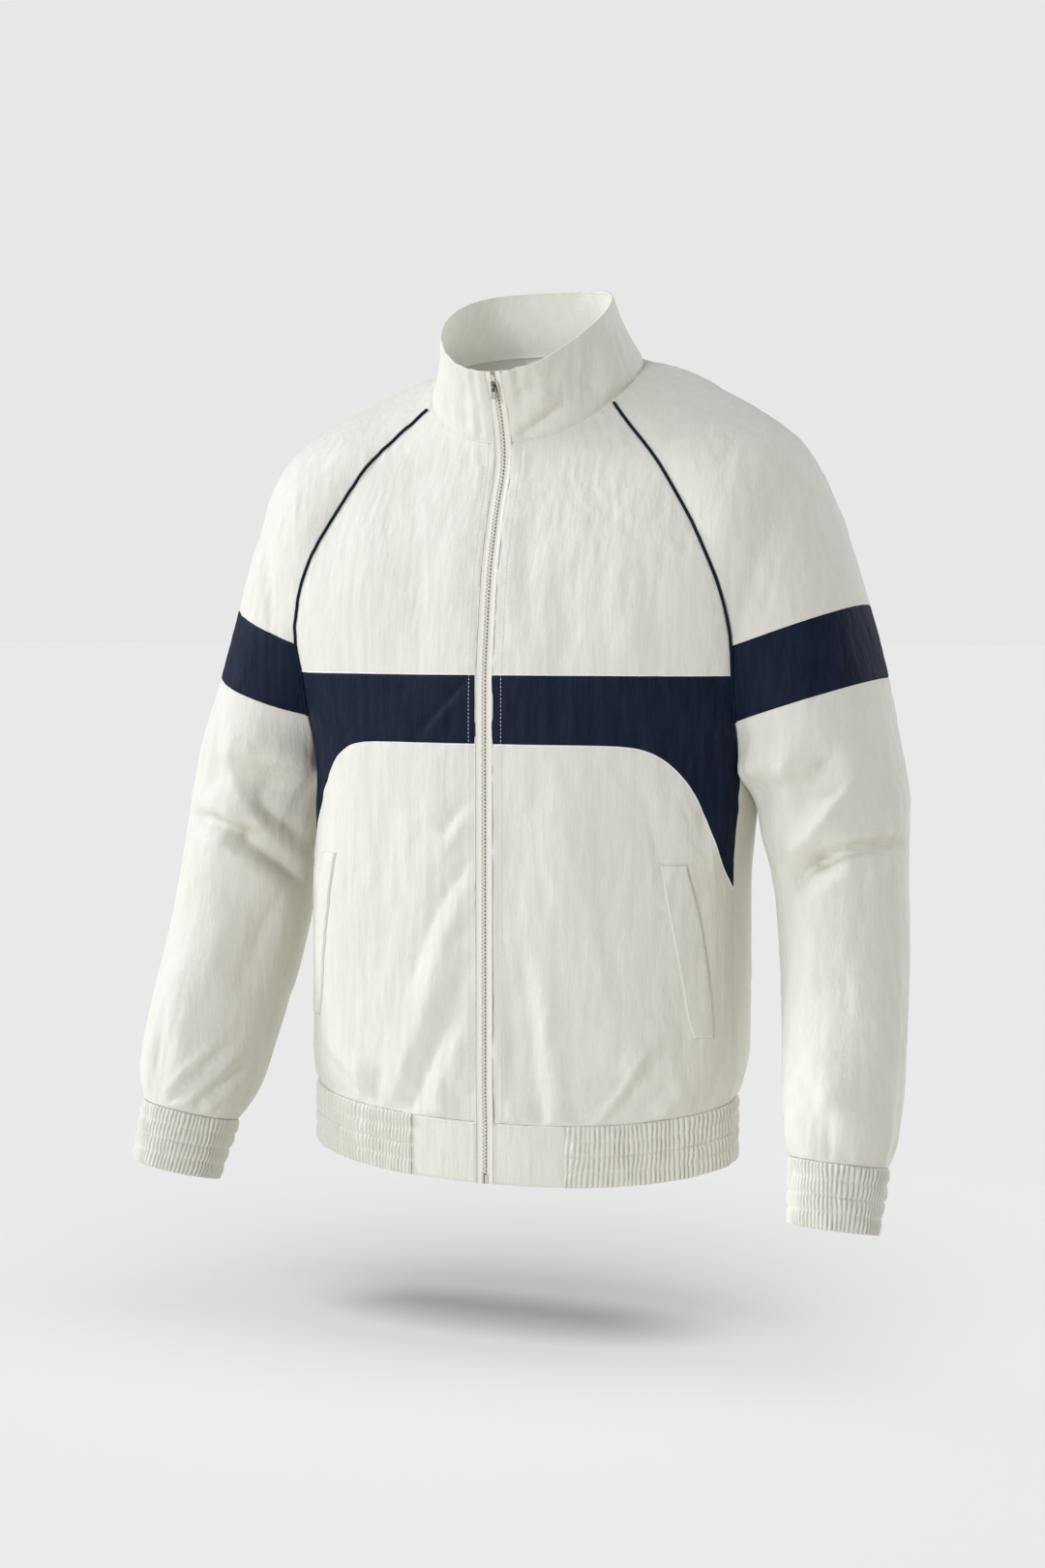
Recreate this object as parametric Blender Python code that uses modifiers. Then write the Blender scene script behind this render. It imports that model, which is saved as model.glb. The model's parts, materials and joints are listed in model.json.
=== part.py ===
"""A windbreaker jacket, filled out as if worn: raglan sleeves, stand collar, full front zip.

Sizes are in millimetres until a mesh is made. The front faces -Y, +X is the wearer's left and +Z
is up. The origin is where the wearer's shoulders carry the jacket, midway between the sides of
the neck. A drop is a distance below the origin.
"""

import math

import bmesh
import bpy
import numpy as np
from mathutils import Matrix, Vector

MM = 0.001
WALL = 1.5
SEAM = 0.3
SETBACK = 0.9
ROUNDNESS = 2.2

# Collar: its two edges, each as seen from above and from the side.
NECK_EDGE = {"half_width": 93.8, "mid_y": -17.8, "front": 69.0, "back": 76.4}
NECK_RISE = {"front_z": -61.0, "side_z": -1.4, "back_z": 23.7, "squareness": 0.966}
RIM_EDGE = {"half_width": 73.7, "mid_y": -37.9, "front": 70.1, "back": 65.4}
RIM_RISE = {"front_z": -3.3, "side_z": 51.6, "back_z": 75.9, "squareness": 0.874}
NECK_FRONT_TURN = 62.0
NECK_BACK_TURN = 120.0
COLLAR_DIP = 2.5

# Front opening and zip.
OPENING_HALF = 7.5
TAPE_EDGE = 0.2
TAPE_HALF = 13.0
TAPE_WALL = 1.0
TAPE_SINK = WALL + 0.4
CHAIN_HALF = 2.6
CHAIN_WALL = 1.6
CHAIN_GAP = 0.3
CHAIN_FOOT = 9.0

# Zip slider, its lug and pull tab, and the box at the zip's foot.
SLIDER_DROP = 15.0
SLIDER_WIDTH = 7.8
SLIDER_LENGTH = 9.0
SLIDER_ROOF = 1.3
SLIDER_CLEAR = 0.3
SLIDER_BEVEL = 0.45
LUG_RADIUS = 2.1
LUG_WIDTH = 1.8
LUG_HOLE = 1.1
LUG_RISE = 1.2
TAB_WIDTH = 4.6
TAB_LENGTH = 9.5
TAB_WALL = 1.1
TAB_WINDOW_WIDTH = 2.7
TAB_WINDOW_LENGTH = 2.9
TAB_BEVEL = 0.2
FOOT_SIZE = (6.4, 7.5, 2.6)

# Chest band.
BAND_TOP_DROP = 255.0
BAND_TIP_DROP = 432.0

# Hips and waistband.
HIP_HALF_WIDTH = 202.0
HIP_HALF_DEPTH = 99.0
HIP_MID_Y = -26.0
SIDE_TURN = 79.0
TUCK_FRONT = 1.5
TUCK_SIDE = 3.5
TUCK_BACK = 15.0
TUCK_HEIGHT = 32.0
TUCK_HEIGHT_BACK = 52.0
TUCK_FLAT_HALF = 130.0
TUCK_TURN_Y = -60.0
TUCK_TURN_DEPTH = 80.0
WAIST_BACK_Y = 60.0
WAIST_FRONT_Y = -125.0
WAIST_DROP_BACK = 600.0
WAIST_DROP_MORE = 30.0
WAIST_DROP_CURVE = 1.6
PAST_HEM_DROP = 800.0
WAISTBAND_HEIGHT = 51.5
TAB_END = 72.0
WAIST_GATHERS = 84
WAIST_GATHER_RISE = 2.6
WAIST_SEAM = 0.5
WAIST_POINTS = 60

# Sleeves and cuffs.
CUFF_GATHERS = 32
CUFF_GATHER_RISE = 2.2
GATHER_ROWS = 4
STITCHED_RISE = 0.3
ARM_ROLL = 45.0
HEAD_ROUNDNESS = 2.1
UNDERARM_CLEAR = 6.0
UNDERARM_TURN = 120.0
FULL_TURN = 175.0

# Trims.
PIPING_RADIUS = 1.3
PIPING_CLEAR = 0.35
PIPING_START = 0.14
WELT_WALL = 1.2
WELT_CLEAR = 0.45
WELT_COLUMNS = 2
WELT_ROWS = 9

# Grid sizes.
FRONT_COLUMNS = 8
BACK_COLUMNS = 16
SLEEVE_COLUMNS = 16
LOWER_ROWS = (0.0, 0.16, 0.32, 0.48, 0.63, 0.76, 0.87, 0.95, 1.0)
COLLAR_ROWS = np.linspace(0, 1, 4)

# A place inside each part of the garment, from which its walls face away.
BODY_CORE = (0, -20, -300)
HEAD_CORE = (190, -10, -150)
SLEEVE_CORE = (215, -10, -230)
ARM_CORE = (285, -40, -480)
CUFF_CORE = (308, -98, -666)
COLLAR_CORE = (0, -30, 0)


def columns(names, *rows):
    """A table with named columns, as a dictionary of arrays."""
    return dict(zip(names.split(), np.array(rows, float).T))


# Raglan sleeve head, wearer's left, from the neck seam down to the underarm. Each row is an arc
# from the front seam over the arm to the back seam. closing is the angle from the over-arm point
# round to either seam, and depth is the arc's half depth, front to back.
HEAD = columns(
    "front_x front_y front_drop over_x over_y over_drop back_x back_y back_drop closing depth",
    (100, -61, 42, 122, -8, 5, 98, 38, -2, 90, 50),
    (119, -69, 61, 152, -8, 16, 117, 52, 20, 90, 60),
    (136, -75, 80, 181, -10, 29, 134, 62, 46, 90, 68),
    (152, -79, 103, 209, -11, 44, 150, 67, 76, 90, 74),
    (168, -83, 128, 233, -10, 62, 164, 70, 108, 90, 78),
    (181, -87, 152, 251, -6, 90, 176, 71, 140, 90, 80),
    (192, -88, 177, 266, -2, 124, 186, 71, 171, 90, 80),
    (199, -86, 203, 279, -1, 158, 193, 68, 199, 92, 78),
    (202, -81.5, 231, 290.5, -1, 196.5, 197, 62.5, 229, 98, 76),
    (200.5, -75, 255, 298.5, -3, 223, 199, 55, 253, 112, 74),
    (199.5, -64, 293, 307.5, -6, 257, 199.5, 40, 290, 132, 72),
    (199, -54, 316, 314.5, -9, 285, 199.5, 12, 317, 152, 70),
    (198.6, -48, 336, 321.5, -13, 313, 198.6, -48, 336, 180, 67.5),
)
BAND_TOP_ROW = 9
CHEST_TOP_ROW = 10
BAND_FOOT_ROW = 11
UNDERARM_ROW = 13

# Arm below the underarm, wearer's left, down to the cuff's foot: the middle line, and the half
# widths along the two diagonals of its section.
ARM = columns(
    "x y drop wide narrow",
    (267.5, -18, 359, 63.5, 63.5),
    (271, -22, 381, 63, 63),
    (274.5, -24, 399, 63, 61.5),
    (277, -26, 417, 63.5, 60.5),
    (279.5, -28, 436, 63.5, 59),
    (281.5, -30.5, 455, 64, 58),
    (284, -34.5, 475, 64, 57),
    (287.5, -40, 500, 63.5, 56.5),
    (291.5, -49.5, 530, 62.5, 55.5),
    (295, -59.5, 560, 61, 54.5),
    (297.5, -70, 588, 59, 53),
    (299.5, -79, 612, 56.5, 51),
    (301, -86.5, 631, 51.5, 48),
    (301.8, -91.5, 644, 44.5, 43.5),
    (304.5, -112.5, 694, 39.5, 38.5),
)
CUFF_TOP_ROW = 13

# The arm leans forwards, and towards the cuff its rings turn back to lie more nearly level.
CUFF_LEVEL = 0.25
LEVEL_FROM_ROW = 9

# Front from the neck to the hips: depth of the middle, and how far round the section turns
# before it meets the seam.
FRONT = columns(
    "drop y turn",
    (26, -70, 36),
    (45, -79, 38),
    (61, -86, 40),
    (76, -86.5, 42),
    (117, -100, 46),
    (168, -114, 52),
    (220, -121, 58),
    (255, -124.5, 63),
    (300, -125, 72),
    (335, -125, SIDE_TURN),
    (700, -125, SIDE_TURN),
)
BACK = columns(
    "drop y turn",
    (-24, 58.6, 38),
    (0, 68, 42),
    (40, 78, 47),
    (100, 86, 52),
    (180, 89, 60),
    (253, 86, 72),
    (287, 83, 80),
    (315, 81, 90),
    (335, 78.5, 180 - SIDE_TURN),
    (450, 70, 180 - SIDE_TURN),
    (560, 65, 180 - SIDE_TURN),
    (700, 62, 180 - SIDE_TURN),
)

# Foot of the chest band: level across the front, then round a corner and down to the side seam.
BAND_FOOT = columns(
    "x drop",
    (OPENING_HALF, 312),
    (60, 312),
    (112, 312.5),
    (136, 316),
    (153, 326),
    (168, 345),
    (181, 374),
    (190.5, 405),
    (198.6, BAND_TIP_DROP),
)

# Slanted pocket welt: its two long edges.
WELT = columns(
    "drop inner_x outer_x",
    (410, 151, 170),
    (453, 158.5, 180),
    (506, 167.5, 186),
    (537, 172, 188),
    (555, 176.5, 188.6),
)

# Largest folds, each a soft ridge, or a trough where rise is negative, between two places given
# as on the wearer's left. side is 1 for the left pieces, -1 for the right ones and 0 for both.
FOLDS = columns(
    "side x1 y1 drop1 x2 y2 drop2 width rise",
    (1, 262, -50, 80, 224, -85, 235, 24, -7),
    (-1, 250, -55, 95, 222, -84, 230, 24, -4),
    (1, 246, -82, 300, 236, -84, 385, 18, 5),
    (1, 322, -66, 402, 238, -88, 438, 15, -7),
    (1, 326, -70, 432, 246, -90, 466, 17, 6),
    (-1, 326, -62, 384, 234, -86, 420, 15, -7),
    (-1, 326, -68, 412, 240, -90, 450, 17, 6),
    (0, 322, 6, 440, 238, 14, 405, 18, 5),
    (-1, 326, -105, 618, 280, -125, 565, 18, 4),
    (1, 330, -108, 622, 285, -128, 580, 18, 3.5),
    (1, 60, -125, 600, 118, -122, 520, 22, 4),
    (-1, 70, -125, 598, 128, -120, 530, 22, 3),
    (0, 60, 68, 590, 130, 62, 490, 26, 4),
)


# ---------------------------------------------------------------- curves

def through(knots, rows, at):
    """Values at `at` on a smooth line through rows that lie at rising knots.

    Each stretch is a cubic, and the slope at a row is the harmonic mean of those beside it.
    """
    rows = np.asarray(rows, float)
    step = np.diff(knots)[:, None]
    rise = np.diff(rows, axis=0) / step
    before, after = rise[:-1], rise[1:]
    same_way = before * after > 0
    total = np.where(same_way, before + after, 1.0)
    inner = np.where(same_way, 2 * before * after / total, 0.0)
    slope = np.vstack([rise[:1], inner, rise[-1:]])
    at = np.asarray(at, float)
    k = np.clip(np.searchsorted(knots, at) - 1, 0, len(knots) - 2)
    u = ((at - np.asarray(knots)[k]) / step[k, 0])[..., None]
    h = step[k]
    start = (1 + 2 * u) * (1 - u) ** 2 * rows[k] + u * (1 - u) ** 2 * h * slope[k]
    end = u * u * (3 - 2 * u) * rows[k + 1] + u * u * (u - 1) * h * slope[k + 1]
    return start + end


def look_up(table, names, at):
    """Columns of a table at the given drops."""
    rows = np.stack([table[name] for name in names.split()], axis=1)
    return np.moveaxis(through(table["drop"], rows, at), -1, 0)


def rounded(turn, roundness=ROUNDNESS):
    """Sine and cosine of a turn in degrees, drawn out towards a rounded rectangle."""
    angle = np.radians(turn)
    sine, cosine = np.sin(angle), np.cos(angle)
    power = 2.0 / roundness
    return (
        np.sign(sine) * np.abs(sine) ** power,
        np.sign(cosine) * np.abs(cosine) ** power,
    )


def collar_edge(turn, edge, rise):
    """A closed line round the neck. turn is in degrees from the front, towards +X."""
    angle = np.radians(turn)
    sine, cosine = np.sin(angle), np.cos(angle)
    x = edge["half_width"] * np.sign(sine) * np.abs(sine) ** rise["squareness"]
    reach = np.where(cosine > 0, edge["front"], edge["back"])
    y = edge["mid_y"] - reach * cosine
    lean = (rise["front_z"] - rise["back_z"]) / 2
    arch = (rise["front_z"] + rise["back_z"]) / 2 - rise["side_z"]
    z = rise["side_z"] + lean * cosine + arch * cosine**2
    return np.stack([x, y, z], axis=-1)


def neck_seam(turn):
    return collar_edge(turn, NECK_EDGE, NECK_RISE)


def collar_rim(turn):
    return collar_edge(turn, RIM_EDGE, RIM_RISE)


def edge_turn(x, edge, rise):
    """The turn at which a collar edge is x from the middle, at the front."""
    return math.degrees(math.asin((x / edge["half_width"]) ** (1 / rise["squareness"])))


def head_line(which, turn):
    """The raglan rows of one seam, with its start on the neck seam."""
    rows = np.stack([HEAD[which + "_x"], HEAD[which + "_y"], -HEAD[which + "_drop"]], axis=1)
    return np.vstack([neck_seam(turn)[None], rows])


FRONT_SEAM = head_line("front", NECK_FRONT_TURN)
BACK_SEAM = head_line("back", NECK_BACK_TURN)


# ---------------------------------------------------------------- body surface

def waist_drop(y):
    """The waist seam's drop: lowest at the middle of the front, and level round the back."""
    ahead = np.clip((WAIST_BACK_Y - y) / (WAIST_BACK_Y - WAIST_FRONT_Y), 0, 1)
    return WAIST_DROP_BACK + WAIST_DROP_MORE * ahead**WAIST_DROP_CURVE


def side_line(seam, drop):
    """Place of the raglan seam at a drop, and of the side seam below the underarm."""
    below = np.array([[seam[-1][0], seam[-1][1], -PAST_HEM_DROP]])
    line = np.vstack([seam, below])
    return np.moveaxis(through(-line[:, 2], line[:, :2], drop), -1, 0)


def body_point(table, seam, n, drop):
    """A point of the front or back: n is 0 at the middle and 1 at the seam."""
    middle_y, turn = look_up(table, "y turn", drop)
    seam_x, seam_y = side_line(seam, drop)
    end_sine, end_cosine = rounded(turn)
    sine, cosine = rounded(n * turn)
    x = seam_x * sine / end_sine
    y = middle_y + (seam_y - middle_y) * (1 - cosine) / (1 - end_cosine)
    return np.stack([x, y, -drop], axis=-1)


def n_of_x(table, seam, x, drop):
    """How far a point x from the middle lies towards the seam."""
    turn = look_up(table, "turn", drop)[0]
    seam_x = side_line(seam, drop)[0]
    sine = np.clip(x / seam_x * rounded(turn)[0], 0, 1)
    return np.degrees(np.arcsin(sine ** (ROUNDNESS / 2))) / turn


def ease(t):
    t = np.clip(t, 0, 1)
    return t * t * (3 - 2 * t)


def tuck(points):
    """Draws the body in towards the waist seam, less at the flat front than at the sides."""
    x, y, z = np.moveaxis(points, -1, 0)
    behind = ease((y - TUCK_TURN_Y) / TUCK_TURN_DEPTH)
    height = TUCK_HEIGHT + (TUCK_HEIGHT_BACK - TUCK_HEIGHT) * behind
    near = (1 - np.clip((waist_drop(y) + z) / height, 0, 1)) ** 2
    depth = TUCK_FRONT + (TUCK_SIDE - TUCK_FRONT) * ease(np.abs(x) / TUCK_FLAT_HALF)
    depth += (TUCK_BACK - TUCK_SIDE) * behind
    away = np.stack([x / HIP_HALF_WIDTH, (y - HIP_MID_Y) / HIP_HALF_DEPTH, 0 * z], axis=-1)
    away /= np.linalg.norm(away, axis=-1, keepdims=True)
    return points - away * (near * depth)[..., None]


def waist_line(table, seam, n):
    """The waist seam on the front or back, with n as in body_point."""
    level = body_point(table, seam, n, 0 * n + WAIST_DROP_BACK)
    return tuck(body_point(table, seam, n, waist_drop(level[..., 1])))


def normals_of(grid, ring):
    across = np.gradient(grid, axis=1)
    if ring:
        across = np.roll(grid, -1, axis=1) - np.roll(grid, 1, axis=1)
    normal = np.cross(across, np.gradient(grid, axis=0))
    return normal / np.linalg.norm(normal, axis=-1, keepdims=True)


def folded(grid, core, side, edges=True):
    """Raises the large folds on a grid: a bell across each fold, tapering to its ends.

    Where edges is set, the grid's own edges stay in place, so that its seams still meet.
    """
    normal = normals_of(grid, False)
    normal *= np.sign(np.sum(normal * (grid - core)))
    lift = np.zeros(grid.shape[:2])
    for fold_side, x1, y1, drop1, x2, y2, drop2, width, rise in zip(*FOLDS.values()):
        if fold_side * side < 0:
            continue
        start = np.array([x1, y1, -drop1])
        along = np.array([x2, y2, -drop2]) - start
        t = np.clip((grid - start) @ along / (along @ along), 0, 1)
        gap = np.linalg.norm(grid - start - t[..., None] * along, axis=-1)
        lift += rise * np.exp(-((gap / width) ** 2)) * np.sin(np.pi * (0.1 + 0.8 * t))
    if edges:
        lift[[0, -1]] = 0
        lift[:, [0, -1]] = 0
    return grid + normal * lift[..., None]


# ---------------------------------------------------------------- grids of the pieces

def front_upper_grid():
    """From the neck seam to the chest band, between the zip and the raglan seam."""
    rows = np.arange(CHEST_TOP_ROW + 1)
    v = (rows / CHEST_TOP_ROW)[:, None]
    s = np.linspace(0, 1, FRONT_COLUMNS + 1)[None]
    neck_drop = -NECK_RISE["front_z"]
    middle = neck_drop + v * (BAND_TOP_DROP - neck_drop)
    seam = -FRONT_SEAM[rows, 2][:, None]
    drop = middle + (seam - middle) * s**2
    first = n_of_x(FRONT, FRONT_SEAM, OPENING_HALF, drop)
    grid = body_point(FRONT, FRONT_SEAM, first + (1 - first) * s, drop)
    start = edge_turn(OPENING_HALF, NECK_EDGE, NECK_RISE)
    neck = neck_seam(start + (NECK_FRONT_TURN - start) * s[0])
    return grid + (1 - v[..., None]) ** 3 * (neck - grid[0])


def band_foot():
    """The chest band's foot, as drops and places towards the seam."""
    drop = BAND_FOOT["drop"]
    n = n_of_x(FRONT, FRONT_SEAM, BAND_FOOT["x"], drop)
    n[-1] = 1.0
    return drop, n


def side_drops():
    """Drops along the raglan and side seams where the chest band and the back share a point."""
    head = -FRONT_SEAM[CHEST_TOP_ROW:, 2]
    below = np.linspace(head[-1], BAND_TIP_DROP, 5)[1:]
    return np.concatenate([head, below])


def front_band_grid():
    s = np.linspace(0, 1, FRONT_COLUMNS + 1)
    top_drop = np.full_like(s, BAND_TOP_DROP)
    first = n_of_x(FRONT, FRONT_SEAM, OPENING_HALF, top_drop)
    top_n = first + (1 - first) * s
    foot_drop, foot_n = band_foot()
    v = (side_drops() - BAND_TOP_DROP) / (BAND_TIP_DROP - BAND_TOP_DROP)
    v = v[:, None]
    drop = (1 - v) * top_drop + v * foot_drop
    return body_point(FRONT, FRONT_SEAM, (1 - v) * top_n + v * foot_n, drop)


def front_lower_grid():
    """From the chest band's foot to the waist seam."""
    s = np.linspace(0, 1, FRONT_COLUMNS + 1)
    top_drop, top_n = band_foot()
    v = np.array(LOWER_ROWS)[:, None]
    first = n_of_x(FRONT, FRONT_SEAM, OPENING_HALF, top_drop)
    foot_n = first + (1 - first) * s
    n = (1 - v) * top_n + v * foot_n
    waist = -waist_line(FRONT, FRONT_SEAM, foot_n)[:, 2]
    drop = (1 - v) * top_drop + v * waist
    return tuck(body_point(FRONT, FRONT_SEAM, n, drop))


def back_grid():
    """The whole back, from the neck seam to the waist seam, in one piece."""
    s = np.linspace(-1, 1, BACK_COLUMNS + 1)
    away = np.abs(s)
    head = -BACK_SEAM[:, 2]
    share = np.arange(UNDERARM_ROW + 1) / UNDERARM_ROW
    neck_drop = -NECK_RISE["back_z"]
    middle = neck_drop + share * (head[-1] - neck_drop)
    side = side_drops()[UNDERARM_ROW - CHEST_TOP_ROW + 1:]
    waist = -waist_line(BACK, BACK_SEAM, away)[:, 2]
    upper_drop = middle[:, None] + (head - middle)[:, None] * away**2
    side_drop = np.repeat(side[:, None], len(s), axis=1)
    lower_drop = BAND_TIP_DROP + np.array(LOWER_ROWS)[1:, None] * (waist - BAND_TIP_DROP)
    drop = np.vstack([upper_drop, side_drop, lower_drop])
    n = np.broadcast_to(away, drop.shape)
    grid = body_point(BACK, BACK_SEAM, n, drop)
    fade = np.clip(1 - np.arange(len(drop)) / UNDERARM_ROW, 0, 1)[:, None, None] ** 3
    grid = grid + fade * (neck_seam(180 - (180 - NECK_BACK_TURN) * away) - grid[0])
    grid[..., 0] *= np.sign(s)
    return tuck(grid)


def unit(way):
    return way / np.linalg.norm(way, axis=-1, keepdims=True)


def head_arc(row, phi_share):
    """One arc of the sleeve head, from the front seam (-1) over the arm to the back seam (1)."""
    front, back = FRONT_SEAM[row], BACK_SEAM[row]
    closing, depth = HEAD["closing"][row - 1], HEAD["depth"][row - 1]
    over = np.array([HEAD[name][row - 1] for name in ("over_x", "over_y", "over_drop")])
    over[2] *= -1
    middle = (front + back) / 2
    middle[0] += UNDERARM_CLEAR * ease((closing - UNDERARM_TURN) / (180 - UNDERARM_TURN))
    middle[1] = max(middle[1], ARM["y"][0])
    outwards = over - middle
    end_sine, end_cosine = rounded(closing, HEAD_ROUNDNESS)
    reach = outwards / (1 - end_cosine)
    chord = np.array([0, 1.0, 0]) if closing > FULL_TURN else unit(back - front)
    sine, cosine = rounded(phi_share * closing, HEAD_ROUNDNESS)
    arc = over - reach + cosine[:, None] * reach + sine[:, None] * chord * depth
    lean = np.abs(phi_share)[:, None] ** 3
    fit_front, fit_back = front - arc[0], back - arc[-1]
    return arc + lean * np.where(phi_share[:, None] < 0, fit_front, fit_back)


def arm_ring(row, phi):
    """Points round the arm at a row, which may be fractional. phi is 0 on the outside."""
    knots = np.arange(len(ARM["x"]))
    line = np.stack([ARM["x"], ARM["y"], -ARM["drop"], ARM["wide"], ARM["narrow"]], axis=1)
    x, y, z, wide, narrow = through(knots, line, np.array(row))
    ahead, behind = (through(knots, line[:, :3], np.clip(row + d, 0, knots[-1])) for d in (0.5, -0.5))
    along = unit(ahead - behind)
    outwards = unit(np.array([1.0, 0, 0]) - along[0] * along)
    forwards = np.cross(along, outwards)
    forwards *= -np.sign(forwards[1])
    slant = np.radians(phi + ARM_ROLL)
    radius = 1 / np.sqrt((np.cos(slant) / wide) ** 2 + (np.sin(slant) / narrow) ** 2)
    angle = np.radians(phi)[:, None]
    ring = radius[:, None] * (np.cos(angle) * outwards - np.sin(angle) * forwards)
    ring[:, 2] += CUFF_LEVEL * ease((row - LEVEL_FROM_ROW) / (CUFF_TOP_ROW - LEVEL_FROM_ROW)) * ring[:, 1]
    return np.array([x, y, z]) + ring


def sleeve_grid():
    """The whole sleeve, from the neck seam to the cuff's seam."""
    share = np.linspace(-1, 1, SLEEVE_COLUMNS + 1)
    neck_turn = NECK_FRONT_TURN + (NECK_BACK_TURN - NECK_FRONT_TURN) * (share + 1) / 2
    rows = [neck_seam(neck_turn)]
    rows += [head_arc(row, share) for row in range(1, UNDERARM_ROW + 1)]
    rows += [arm_ring(row, 180 * share) for row in range(CUFF_TOP_ROW + 1)]
    return np.array(rows)


def collar_between(neck_turn, rim_turn, v):
    """Points of the collar: v is 0 at the neck seam and 1 at the rim. It is hollowed slightly."""
    low, high = neck_seam(neck_turn), collar_rim(rim_turn)
    inwards = np.array(COLLAR_CORE) - (low + high) / 2
    inwards[..., 2] = 0
    v = v[:, None, None]
    return (1 - v) * low + v * high + COLLAR_DIP * np.sin(np.pi * v) * unit(inwards)


def collar_grid():
    """The stand collar all the way round, from one edge of the zip to the other."""
    neck_start = edge_turn(OPENING_HALF, NECK_EDGE, NECK_RISE)
    rim_start = edge_turn(OPENING_HALF, RIM_EDGE, RIM_RISE)
    front = np.linspace(neck_start, NECK_FRONT_TURN, FRONT_COLUMNS + 1)
    shoulder = np.linspace(NECK_FRONT_TURN, NECK_BACK_TURN, SLEEVE_COLUMNS + 1)
    back = np.linspace(NECK_BACK_TURN, 180, BACK_COLUMNS // 2 + 1)
    half = np.concatenate([front, shoulder[1:], back[1:]])
    turn = np.concatenate([half, 360 - half[-2::-1]])
    rim_turn = 180 + (turn - 180) * (180 - rim_start) / (180 - neck_start)
    return collar_between(turn, rim_turn, COLLAR_ROWS)


def waist_band_grid(table, seam, n):
    """A strip of the waistband's height, hung straight down from the waist seam."""
    top = waist_line(table, seam, n)
    down = np.array([0, 0, -WAISTBAND_HEIGHT])
    return top + np.linspace(0, 1, 3)[:, None, None] * down


def tab_grid():
    """The flat end of the waistband beside the zip."""
    drop = np.full(6, WAIST_DROP_BACK)
    n = n_of_x(FRONT, FRONT_SEAM, np.linspace(OPENING_HALF, TAB_END, 6), drop)
    return waist_band_grid(FRONT, FRONT_SEAM, n)


def elastic_grid():
    """The gathered waistband, from one flat end round the back to the other."""
    start = n_of_x(FRONT, FRONT_SEAM, TAB_END, np.array(WAIST_DROP_BACK))
    front = waist_band_grid(FRONT, FRONT_SEAM, np.linspace(start, 1, WAIST_POINTS))
    back = waist_band_grid(BACK, BACK_SEAM, np.linspace(1, 0, WAIST_POINTS))
    half = np.hstack([front, back[:, 1:]])
    whole = np.hstack([half, (half * np.array([-1, 1, 1]))[:, -2::-1]])
    step = np.linalg.norm(np.diff(whole[0], axis=0), axis=1)
    length = np.concatenate([[0], np.cumsum(step)])
    even = np.linspace(0, length[-1], 2 * WAIST_GATHERS + 1)
    edges = [through(length, line, even) for line in (whole[0], whole[-1])]
    return gathered(edges[0], edges[1], WAIST_GATHER_RISE, False)


def cuff_grid():
    """The gathered cuff, a closed ring."""
    phi = np.linspace(-180, 180, 2 * CUFF_GATHERS, endpoint=False)
    high, low = arm_ring(CUFF_TOP_ROW, phi), arm_ring(CUFF_TOP_ROW + 1, phi)
    return gathered(high, low, CUFF_GATHER_RISE, True)


def gathered(high, low, rise, ring):
    """Two grids for an elastic band hung between two lines of points.

    The lines hold two points for each gather, a valley and a crest by turns. The outer grid
    swells between rows of stitching, and the inner grid is plain.
    """
    v = np.linspace(0, 1, 2 * GATHER_ROWS + 1)[:, None, None]
    plain = (1 - v) * high + v * low
    away = normals_of(plain, ring)
    away *= np.sign(np.sum(away * (plain - plain.mean(axis=(0, 1)))))
    crest = (np.arange(plain.shape[1]) % 2 == 1).astype(float)[None, :, None]
    swell = np.where(np.arange(len(v)) % 2 == 1, 1.0, STITCHED_RISE)[:, None, None]
    outer = plain + away * crest * swell * rise
    return outer, (plain - away * WALL)[[0, -1]]


def front_strip(xs):
    """Lines down the front at the given distances from the middle, from the rim to the hem."""
    xs = np.array(xs, float)
    turns = [
        np.array([edge_turn(x, edge, rise) for x in xs])
        for edge, rise in ((NECK_EDGE, NECK_RISE), (RIM_EDGE, RIM_RISE))
    ]
    collar = collar_between(turns[0], turns[1], COLLAR_ROWS[::-1])
    drops = np.concatenate([
        -front_upper_grid()[1:, 0, 2],
        -front_band_grid()[1:, 0, 2],
        -front_lower_grid()[1:-1, 0, 2],
    ])
    drops = np.repeat(drops[:, None], len(xs), axis=1)
    body = tuck(body_point(FRONT, FRONT_SEAM, n_of_x(FRONT, FRONT_SEAM, xs, drops), drops))
    level = np.full(len(xs), WAIST_DROP_BACK)
    band = waist_band_grid(FRONT, FRONT_SEAM, n_of_x(FRONT, FRONT_SEAM, xs, level))
    return np.vstack([collar, body, band])


def sunk(grid, depth):
    """A grid moved back into the garment, whose front faces -Y."""
    normal = normals_of(grid, False)
    normal *= -np.sign(normal[..., 1:2])
    return grid - normal * depth


def piping_line():
    """The piping's middle line, laid on the seam between the front and the sleeve."""
    front = np.vstack([front_upper_grid(), front_band_grid()[1:]])
    sides = [(front, -1, BODY_CORE), (sleeve_grid(), 0, SLEEVE_CORE)]
    normals = []
    for grid, column, core in sides:
        normal = normals_of(grid, False)
        normal *= np.sign(np.sum(normal * (grid - np.array(core))))
        normals.append(normal[: BAND_FOOT_ROW + 1, column])
    middle = unit(normals[0] + normals[1])
    spread = np.clip(np.sum(middle * normals[0], axis=1), 0.5, 1)
    line = FRONT_SEAM[: BAND_FOOT_ROW + 1]
    line = line + middle * ((PIPING_RADIUS + PIPING_CLEAR) / spread)[:, None]
    line[0] += PIPING_START * (line[1] - line[0])
    return line


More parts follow.
